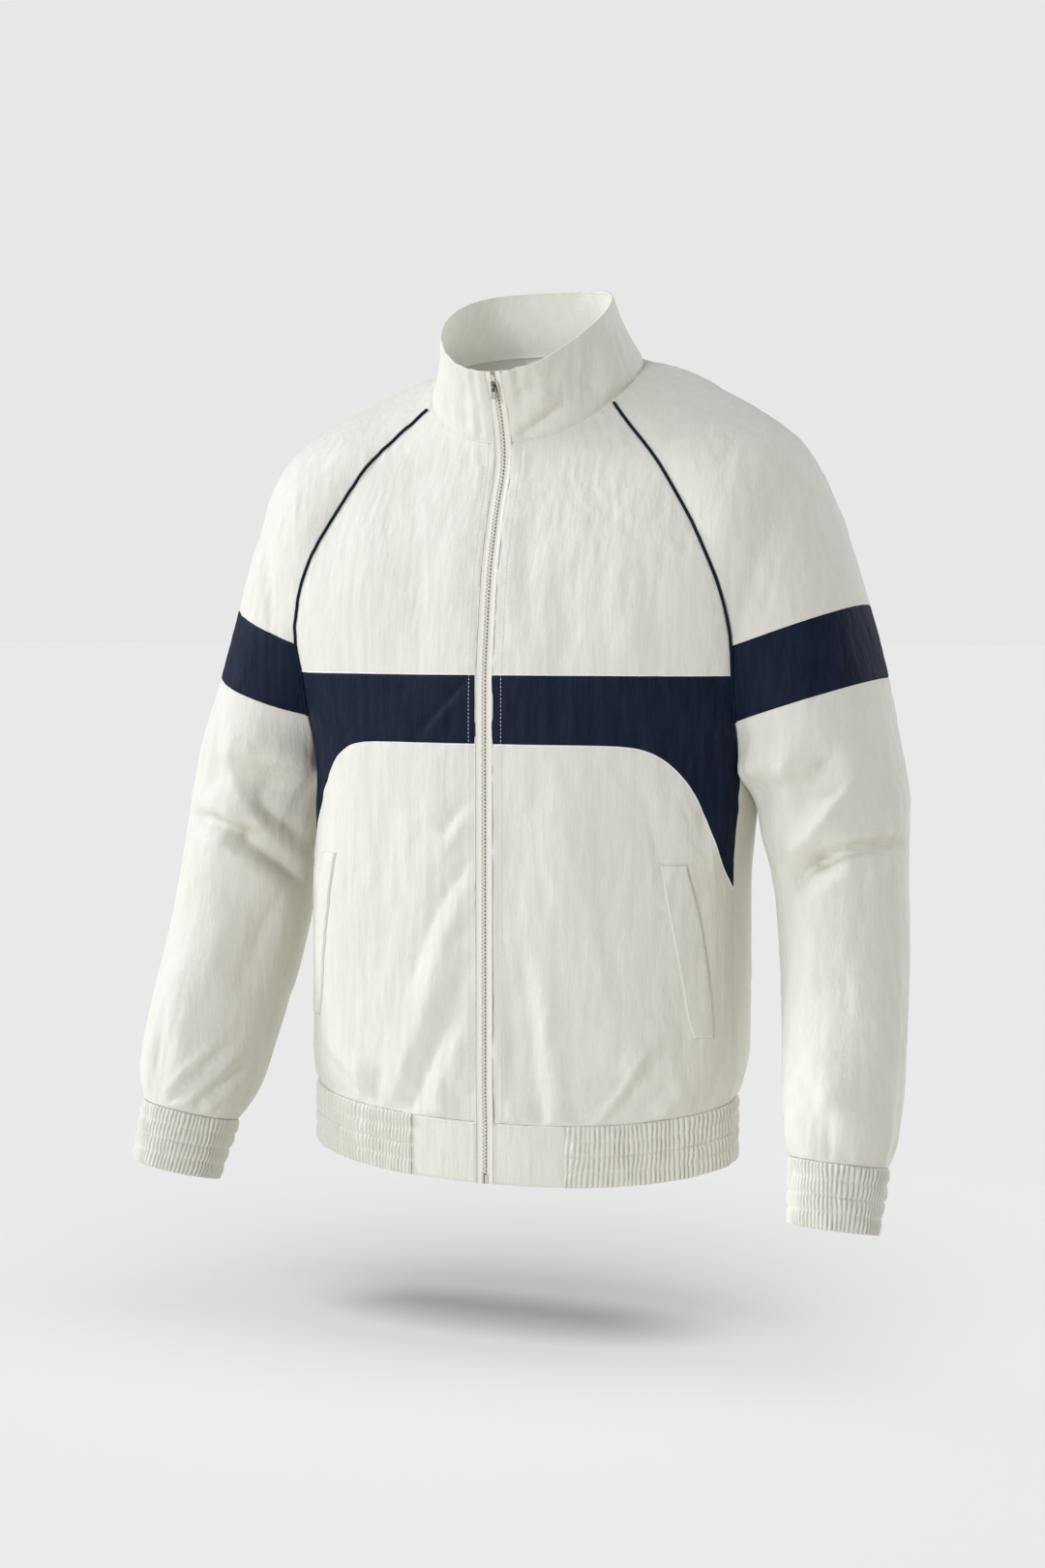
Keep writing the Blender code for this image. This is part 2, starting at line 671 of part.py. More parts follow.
def welt_grid():
    drop = np.linspace(WELT["drop"][0], WELT["drop"][-1], WELT_ROWS + 1)
    inner, outer = look_up(WELT, "inner_x outer_x", drop)
    share = np.linspace(0, 1, WELT_COLUMNS + 1)
    x = inner[:, None] + (outer - inner)[:, None] * share
    drops = np.repeat(drop[:, None], len(share), axis=1)
    grid = body_point(FRONT, FRONT_SEAM, n_of_x(FRONT, FRONT_SEAM, x, drops), drops)
    return sunk(grid, -(WELT_CLEAR + WELT_WALL))


# ---------------------------------------------------------------- meshes and materials

def clear_scene():
    for old in list(bpy.data.objects):
        bpy.data.objects.remove(old, do_unlink=True)


def new_collection(name):
    made = bpy.data.collections.new(name)
    bpy.context.scene.collection.children.link(made)
    return made


def finish(name, colour, roughness, metallic=0.0):
    made = bpy.data.materials.new(name)
    made.use_nodes = True
    shader = made.node_tree.nodes["Principled BSDF"]
    shader.inputs["Base Color"].default_value = (*colour, 1.0)
    shader.inputs["Roughness"].default_value = roughness
    shader.inputs["Metallic"].default_value = metallic
    return made


def place(name, mesh, material):
    piece = bpy.data.objects.new(name, mesh)
    piece.data.materials.append(material)
    JACKET.objects.link(piece)
    return piece


def drawn_in(edge, beside, amount):
    """An edge line moved square to itself towards the line beside it."""
    along = unit(np.gradient(edge, axis=0))
    way = beside - edge
    way -= np.sum(way * along, axis=-1, keepdims=True) * along
    return edge + amount * unit(way)


def inset(grid, amount, ring):
    """Draws the open edges of a grid in."""
    grid = grid.copy()
    grid[0] = drawn_in(grid[0], grid[1], amount)
    grid[-1] = drawn_in(grid[-1], grid[-2], amount)
    if not ring:
        grid[:, 0] = drawn_in(grid[:, 0], grid[:, 1], amount)
        grid[:, -1] = drawn_in(grid[:, -1], grid[:, -2], amount)
    return grid


def closed_wall(outer, inner, ring):
    """Points and faces of one closed wall between two grids. inner may have fewer rows."""
    count = outer.shape[0] * outer.shape[1]
    shown = np.arange(count).reshape(outer.shape[:2])
    hidden = np.arange(count, count + inner.shape[0] * inner.shape[1]).reshape(inner.shape[:2])
    if ring:
        shown = np.hstack([shown, shown[:, :1]])
        hidden = np.hstack([hidden, hidden[:, :1]])
    quads = []
    for number in (shown, hidden[:, ::-1]):
        low, high = number[:-1], number[1:]
        sheet = np.stack([low[:, :-1], low[:, 1:], high[:, 1:], high[:, :-1]], axis=-1)
        quads.append(sheet.reshape(-1, 4))
    edges = [(shown[0, ::-1], hidden[0, ::-1]), (shown[-1], hidden[-1])]
    even = len(outer) == len(inner)
    if even and not ring:
        edges += [(shown[:, 0], hidden[:, 0]), (shown[::-1, -1], hidden[::-1, -1])]
    for line, back in edges:
        quads.append(np.stack([line[:-1], line[1:], back[1:], back[:-1]], axis=-1))
    faces = np.concatenate(quads).tolist()
    if not (even or ring):
        faces.append([*shown[:, 0], *hidden[::-1, 0]])
        faces.append([*shown[::-1, -1], *hidden[:, -1]])
    return np.concatenate([outer.reshape(-1, 3), inner.reshape(-1, 3)]), faces


def wall(name, outer, material, core, thickness=WALL, ring=False, inner=None, seam=SEAM):
    """A cloth piece: a wall of even thickness behind a grid, or between two given grids.

    core is a point inside the garment, from which the wall faces away.
    """
    normal = normals_of(outer, ring)
    if np.sum(normal * (outer - core)) < 0:
        outer, normal = outer[:, ::-1], -normal[:, ::-1]
        inner = None if inner is None else inner[:, ::-1]
    if inner is None:
        inner = inset(outer - thickness * normal, seam / 2 + SETBACK, ring)
    else:
        inner = inset(inner, seam / 2, ring)
    points, faces = closed_wall(inset(outer, seam / 2, ring), inner, ring)
    mesh = bpy.data.meshes.new(name)
    mesh.from_pydata((points * MM).tolist(), [], faces)
    mesh.shade_smooth()
    mesh.set_sharp_from_angle(angle=math.radians(40))
    return place(name, mesh, material)


def both_sides(name, grid, material, core, folds=False, inner=None, **settings):
    """The wearer's left piece, and its mirror image on the right, each with its own folds."""
    for side, word in ((1, "_left"), (-1, "_right")):
        shape = folded(grid, np.array(core), side) if folds else grid
        flip = np.array([side, 1, 1])
        other = None if inner is None else inner * flip
        wall(name + word, shape * flip, material, np.array(core) * flip, inner=other, **settings)


def tube(name, line, radius, material):
    """A round cord along a line of points."""
    curve = bpy.data.curves.new(name, "CURVE")
    curve.dimensions = "3D"
    curve.bevel_depth = radius * MM
    curve.bevel_resolution = 1
    curve.use_fill_caps = True
    spline = curve.splines.new("POLY")
    spline.points.add(len(line) - 1)
    spline.points.foreach_set("co", np.column_stack([line * MM, np.ones(len(line))]).ravel())
    return place(name, curve, material)


def box(name, size, middle, material=None):
    """A box, in the zip's own frame. Without a material it is a cutter."""
    shape = bmesh.new()
    bmesh.ops.create_cube(shape, size=1.0)
    bmesh.ops.scale(shape, vec=np.array(size) * MM, verts=shape.verts)
    bmesh.ops.translate(shape, vec=np.array(middle) * MM, verts=shape.verts)
    return from_bmesh(name, shape, material)


def rod(name, radius, length, middle, sides):
    """A cutter rod or disc across the zip."""
    shape = bmesh.new()
    bmesh.ops.create_cone(
        shape, cap_ends=True, segments=sides, radius1=radius * MM, radius2=radius * MM,
        depth=length * MM,
    )
    turn = Matrix.Rotation(math.radians(90), 3, "Y")
    bmesh.ops.rotate(shape, matrix=turn, verts=shape.verts)
    bmesh.ops.translate(shape, vec=np.array(middle) * MM, verts=shape.verts)
    return from_bmesh(name, shape, None)


def from_bmesh(name, shape, material):
    mesh = bpy.data.meshes.new(name)
    shape.to_mesh(mesh)
    shape.free()
    if material is not None:
        return place(name, mesh, material)
    cutter = bpy.data.objects.new(name, mesh)
    cutter.hide_render = True
    cutter.display_type = "WIRE"
    GUIDES.objects.link(cutter)
    return cutter


def combine(piece, operation, other):
    step = piece.modifiers.new(other.name, "BOOLEAN")
    step.operation = operation
    step.solver = "EXACT"
    step.object = other


def bevel(piece, width):
    step = piece.modifiers.new("Bevel", "BEVEL")
    step.width = width * MM
    step.segments = 2
    step.limit_method = "ANGLE"


# ---------------------------------------------------------------- build

def build_body(cream, navy):
    both_sides("front_upper", front_upper_grid(), cream, BODY_CORE)
    both_sides("front_band", front_band_grid(), navy, BODY_CORE)
    both_sides("front_lower", front_lower_grid(), cream, BODY_CORE, folds=True)
    wall("back", folded(back_grid(), np.array(BODY_CORE), 0), cream, np.array(BODY_CORE))
    both_sides("pocket_welt", welt_grid(), cream, BODY_CORE, thickness=WELT_WALL, seam=0.0)


def build_sleeves(cream, navy):
    grid = sleeve_grid()
    both_sides("sleeve_upper", grid[: BAND_TOP_ROW + 1], cream, HEAD_CORE, folds=True)
    both_sides("sleeve_band", grid[BAND_TOP_ROW : BAND_FOOT_ROW + 1], navy, SLEEVE_CORE)
    both_sides("sleeve_lower", grid[BAND_FOOT_ROW:], cream, ARM_CORE, folds=True)
    outer, inner = cuff_grid()
    both_sides("cuff", outer, cream, CUFF_CORE, inner=inner, ring=True)
    line = piping_line()
    tube("piping_left", line, PIPING_RADIUS, navy)
    tube("piping_right", line * np.array([-1, 1, 1]), PIPING_RADIUS, navy)


def build_collar_and_waistband(cream):
    wall("collar", collar_grid(), cream, np.array(COLLAR_CORE))
    both_sides("waist_tab", tab_grid(), cream, BODY_CORE)
    outer, inner = elastic_grid()
    wall("waist_elastic", outer, cream, np.array(BODY_CORE), inner=inner, seam=WAIST_SEAM)


def zip_frame(line):
    """The slider's own frame on the zip's middle line: across, up along the zip, and outwards.

    Its height is measured from the face of the teeth.
    """
    below = np.searchsorted(-line[:, 2], SLIDER_DROP)
    up = unit(line[below - 1] - line[below])
    share = (SLIDER_DROP + line[below - 1, 2]) / (line[below - 1, 2] - line[below, 2])
    middle = line[below - 1] + share * (line[below] - line[below - 1])
    out = np.cross([1.0, 0, 0], up)
    middle = middle + out * (CHAIN_GAP + CHAIN_WALL - TAPE_SINK)
    frame = np.eye(4)
    frame[:3, 0], frame[:3, 1], frame[:3, 2] = (1, 0, 0), up, out
    frame[:3, 3] = middle * MM
    return Matrix(frame.tolist())


def build_slider(line, metal):
    """The slider, which straddles the teeth, with a drilled lug for the pull tab."""
    frame = zip_frame(line)
    foot = SLIDER_CLEAR - CHAIN_WALL - CHAIN_GAP
    top = SLIDER_CLEAR + SLIDER_ROOF
    size = (SLIDER_WIDTH, SLIDER_LENGTH, top - foot)
    slider = box("zip_slider", size, (0, 0, (top + foot) / 2), metal)
    bevel(slider, SLIDER_BEVEL)
    channel = (2 * (CHAIN_HALF + SLIDER_CLEAR), 2 * SLIDER_LENGTH, 2 * (SLIDER_CLEAR - foot))
    pivot = (0, 0, top + LUG_RISE)
    steps = (
        ("DIFFERENCE", box("slider_channel", channel, (0, 0, foot))),
        ("UNION", rod("slider_lug", LUG_RADIUS, LUG_WIDTH, pivot, 24)),
        ("DIFFERENCE", rod("slider_hole", LUG_HOLE, 2 * LUG_WIDTH, pivot, 16)),
    )
    slider.matrix_world = frame
    for operation, cutter in steps:
        cutter.matrix_world = frame
        combine(slider, operation, cutter)
    return frame @ (Vector(pivot) * MM)


def build_pull_tab(pivot, metal):
    """The pull tab hangs straight down from its bar, which passes through the lug."""
    size = (TAB_WIDTH, TAB_WALL, TAB_LENGTH + TAB_WALL / 2)
    tab = box("zip_pull_tab", size, (0, 0, (TAB_WALL / 2 - TAB_LENGTH) / 2), metal)
    window = (TAB_WINDOW_WIDTH, 3 * TAB_WALL, TAB_WINDOW_LENGTH)
    cutter = box("pull_tab_window", window, (0, 0, -(TAB_WALL + TAB_WINDOW_LENGTH) / 2))
    for piece in (tab, cutter):
        piece.location = pivot
    combine(tab, "DIFFERENCE", cutter)
    bevel(tab, TAB_BEVEL)


def build_zip(cream, metal):
    rows = front_strip([TAPE_EDGE, OPENING_HALF, TAPE_HALF])
    tape = sunk(rows, TAPE_SINK)
    both_sides("zip_tape", tape, cream, BODY_CORE, thickness=TAPE_WALL, seam=0.0)
    line = front_strip([TAPE_EDGE])[:, 0]
    middle = np.stack([line, line, line], axis=1)
    middle[..., 0] = np.array([-CHAIN_HALF, 0, CHAIN_HALF])
    face = sunk(middle, TAPE_SINK - CHAIN_GAP - CHAIN_WALL)
    face[-1, :, 2] += CHAIN_FOOT
    wall("zip_chain", face, cream, np.array(BODY_CORE), thickness=CHAIN_WALL, seam=0.0)
    line[:, 0] = 0
    build_pull_tab(build_slider(line, metal), metal)
    depth = TAPE_SINK - CHAIN_GAP - FOOT_SIZE[2] / 2
    foot = line[-1] + np.array([0, depth, FOOT_SIZE[1] / 2])
    clasp = box("zip_foot", (FOOT_SIZE[0], FOOT_SIZE[2], FOOT_SIZE[1]), (0, 0, 0), metal)
    bevel(clasp, SLIDER_BEVEL)
    clasp.location = Vector(foot) * MM


def main():
    cream = finish("crinkled cream nylon", (0.80, 0.79, 0.74), 0.55)
    navy = finish("navy nylon", (0.018, 0.028, 0.060), 0.5)
    tape = finish("cream zip tape", (0.78, 0.75, 0.68), 0.7)
    metal = finish("dark zip metal", (0.10, 0.10, 0.09), 0.35, 1.0)
    build_body(cream, navy)
    build_sleeves(cream, navy)
    build_collar_and_waistband(cream)
    build_zip(tape, metal)


clear_scene()
JACKET = new_collection("windbreaker jacket")
GUIDES = new_collection("cutters")
main()
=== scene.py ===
"""The looks of a windbreaker jacket, filled out as if worn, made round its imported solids.

Sizes are in millimetres until a mesh is made. The front faces -Y, +X is the wearer's left and +Z
is up. The origin is midway between the sides of the neck. A drop is a distance below the origin.
Each piece of cloth is a smooth surface through the rows of the cut, raised or sunk along its own
normals by creases, puckers and gathers, and closed into a thin wall.
"""

import json
import math

import bpy
import numpy as np
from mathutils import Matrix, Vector

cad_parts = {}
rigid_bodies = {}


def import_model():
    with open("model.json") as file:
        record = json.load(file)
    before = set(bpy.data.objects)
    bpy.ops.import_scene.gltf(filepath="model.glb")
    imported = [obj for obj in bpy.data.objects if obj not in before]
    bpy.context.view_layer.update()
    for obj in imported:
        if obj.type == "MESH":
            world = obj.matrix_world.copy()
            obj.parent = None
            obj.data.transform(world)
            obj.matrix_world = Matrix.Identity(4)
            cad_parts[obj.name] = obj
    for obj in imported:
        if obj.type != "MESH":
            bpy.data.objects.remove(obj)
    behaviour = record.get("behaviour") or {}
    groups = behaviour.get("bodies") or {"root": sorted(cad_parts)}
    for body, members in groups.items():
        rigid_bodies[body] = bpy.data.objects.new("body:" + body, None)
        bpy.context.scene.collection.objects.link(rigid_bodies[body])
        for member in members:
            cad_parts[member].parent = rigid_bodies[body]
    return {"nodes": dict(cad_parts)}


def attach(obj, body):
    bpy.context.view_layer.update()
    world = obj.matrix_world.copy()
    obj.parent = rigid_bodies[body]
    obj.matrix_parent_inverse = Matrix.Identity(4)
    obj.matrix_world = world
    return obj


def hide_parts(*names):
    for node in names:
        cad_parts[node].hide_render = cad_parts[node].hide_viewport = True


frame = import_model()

MM = 0.001
BODY = "jacket"
SIDES = ((1.0, "_left"), (-1.0, "_right"))


# ---------------------------------------------------------------- sizes of the cut

SEAM = 0.12
ROUNDNESS = 2.2

NECK_EDGE = {"half_width": 93.8, "mid_y": -17.8, "front": 69.0, "back": 76.4}
NECK_RISE = {"front_z": -61.0, "side_z": -1.4, "back_z": 23.7, "squareness": 0.966}
RIM_EDGE = {"half_width": 73.7, "mid_y": -37.9, "front": 70.1, "back": 65.4}
RIM_RISE = {"front_z": -3.3, "side_z": 51.6, "back_z": 75.9, "squareness": 0.874}
NECK_FRONT_TURN = 62.0
NECK_BACK_TURN = 120.0
COLLAR_DIP = 2.5

OPENING_HALF = 7.5
TAPE_EDGE = 0.2

BAND_TOP_DROP = 255.0
BAND_TIP_DROP = 432.0

HIP_HALF_WIDTH = 202.0
HIP_HALF_DEPTH = 99.0
HIP_MID_Y = -26.0
SIDE_TURN = 79.0
TUCK_FRONT = 1.5
TUCK_SIDE = 3.5
TUCK_BACK = 15.0
TUCK_HEIGHT = 32.0
TUCK_HEIGHT_BACK = 52.0
TUCK_FLAT_HALF = 130.0
TUCK_TURN_Y = -60.0
TUCK_TURN_DEPTH = 80.0
WAIST_BACK_Y = 60.0
WAIST_FRONT_Y = -125.0
WAIST_DROP_BACK = 600.0
WAIST_DROP_MORE = 30.0
WAIST_DROP_CURVE = 1.6
PAST_HEM_DROP = 800.0
WAISTBAND_HEIGHT = 51.5
TAB_END = 72.0
WAIST_POINTS = 60

ARM_ROLL = 45.0
HEAD_ROUNDNESS = 2.1
UNDERARM_CLEAR = 6.0
UNDERARM_TURN = 120.0
FULL_TURN = 175.0

FRONT_COLUMNS = 8
BACK_COLUMNS = 16
SLEEVE_COLUMNS = 16
LOWER_ROWS = (0.0, 0.16, 0.32, 0.48, 0.63, 0.76, 0.87, 0.95, 1.0)
COLLAR_ROWS = np.linspace(0, 1, 4)

BODY_CORE = (0, -20, -300)
HEAD_CORE = (190, -10, -150)
SLEEVE_CORE = (215, -10, -230)
ARM_CORE = (285, -40, -480)
CUFF_CORE = (308, -98, -666)
COLLAR_CORE = (0, -30, 0)


def columns(names, *rows):
    """A table with named columns, as a dictionary of arrays."""
    return dict(zip(names.split(), np.array(rows, float).T))


# Raglan sleeve head, wearer's left, from the neck seam down to the underarm. Each row is an arc
# from the front seam over the arm to the back seam. closing is the angle from the over-arm point
# round to either seam, and depth is the arc's half depth, front to back.
HEAD = columns(
    "front_x front_y front_drop over_x over_y over_drop back_x back_y back_drop closing depth",
    (100, -61, 42, 122, -8, 5, 98, 38, -2, 90, 50),
    (119, -69, 61, 152, -8, 16, 117, 52, 20, 90, 60),
    (136, -75, 80, 181, -10, 29, 134, 62, 46, 90, 68),
    (152, -79, 103, 209, -11, 44, 150, 67, 76, 90, 74),
    (168, -83, 128, 233, -10, 62, 164, 70, 108, 90, 78),
    (181, -87, 152, 251, -6, 90, 176, 71, 140, 90, 80),
    (192, -88, 177, 266, -2, 124, 186, 71, 171, 90, 80),
    (199, -86, 203, 279, -1, 158, 193, 68, 199, 92, 78),
    (202, -81.5, 231, 290.5, -1, 196.5, 197, 62.5, 229, 98, 76),
    (200.5, -75, 255, 298.5, -3, 223, 199, 55, 253, 112, 74),
    (199.5, -64, 293, 307.5, -6, 257, 199.5, 40, 290, 132, 72),
    (199, -54, 316, 314.5, -9, 285, 199.5, 12, 317, 152, 70),
    (198.6, -48, 336, 321.5, -13, 313, 198.6, -48, 336, 180, 67.5),
)
BAND_TOP_ROW = 9
CHEST_TOP_ROW = 10
BAND_FOOT_ROW = 11
UNDERARM_ROW = 13
CHEST_FOOT_ROW = 17

# Arm below the underarm, wearer's left, down to the cuff's foot: the middle line, and the half
# widths along the two diagonals of its section.
ARM = columns(
    "x y drop wide narrow",
    (267.5, -18, 359, 63.5, 63.5),
    (271, -22, 381, 63, 63),
    (274.5, -24, 399, 63, 61.5),
    (277, -26, 417, 63.5, 60.5),
    (279.5, -28, 436, 63.5, 59),
    (281.5, -30.5, 455, 64, 58),
    (284, -34.5, 475, 64, 57),
    (287.5, -40, 500, 63.5, 56.5),
    (291.5, -49.5, 530, 62.5, 55.5),
    (295, -59.5, 560, 61, 54.5),
    (297.5, -70, 588, 59, 53),
    (299.5, -79, 612, 56.5, 51),
    (301, -86.5, 631, 51.5, 48),
    (301.8, -91.5, 644, 44.5, 43.5),
    (304.5, -112.5, 694, 39.5, 38.5),
)
CUFF_TOP_ROW = 13
CUFF_LEVEL = 0.25
LEVEL_FROM_ROW = 9

# Front from the neck to the hips: depth of the middle, and how far round the section turns
# before it meets the seam.
FRONT = columns(
    "drop y turn",
    (26, -70, 36),
    (45, -79, 38),
    (61, -86, 40),
    (76, -86.5, 42),
    (117, -100, 46),
    (168, -114, 52),
    (220, -121, 58),
    (255, -124.5, 63),
    (300, -125, 72),
    (335, -125, SIDE_TURN),
    (700, -125, SIDE_TURN),
)
BACK = columns(
    "drop y turn",
    (-24, 58.6, 38),
    (0, 68, 42),
    (40, 78, 47),
    (100, 86, 52),
    (180, 89, 60),
    (253, 86, 72),
    (287, 83, 80),
    (315, 81, 90),
    (335, 78.5, 180 - SIDE_TURN),
    (450, 70, 180 - SIDE_TURN),
    (560, 65, 180 - SIDE_TURN),
    (700, 62, 180 - SIDE_TURN),
)

# Foot of the chest band: level across the front, then round a corner and down to the side seam.
BAND_FOOT = columns(
    "x drop",
    (OPENING_HALF, 312),
    (60, 312),
    (112, 312.5),
    (136, 316),
    (153, 326),
    (168, 345),
    (181, 374),
    (190.5, 405),
    (198.6, BAND_TIP_DROP),
)

# Slanted pocket welt: its two long edges.
WELT = columns(
    "drop inner_x outer_x",
    (410, 151, 170),
    (453, 158.5, 180),
    (506, 167.5, 186),
    (537, 172, 188),
    (555, 176.5, 188.6),
)

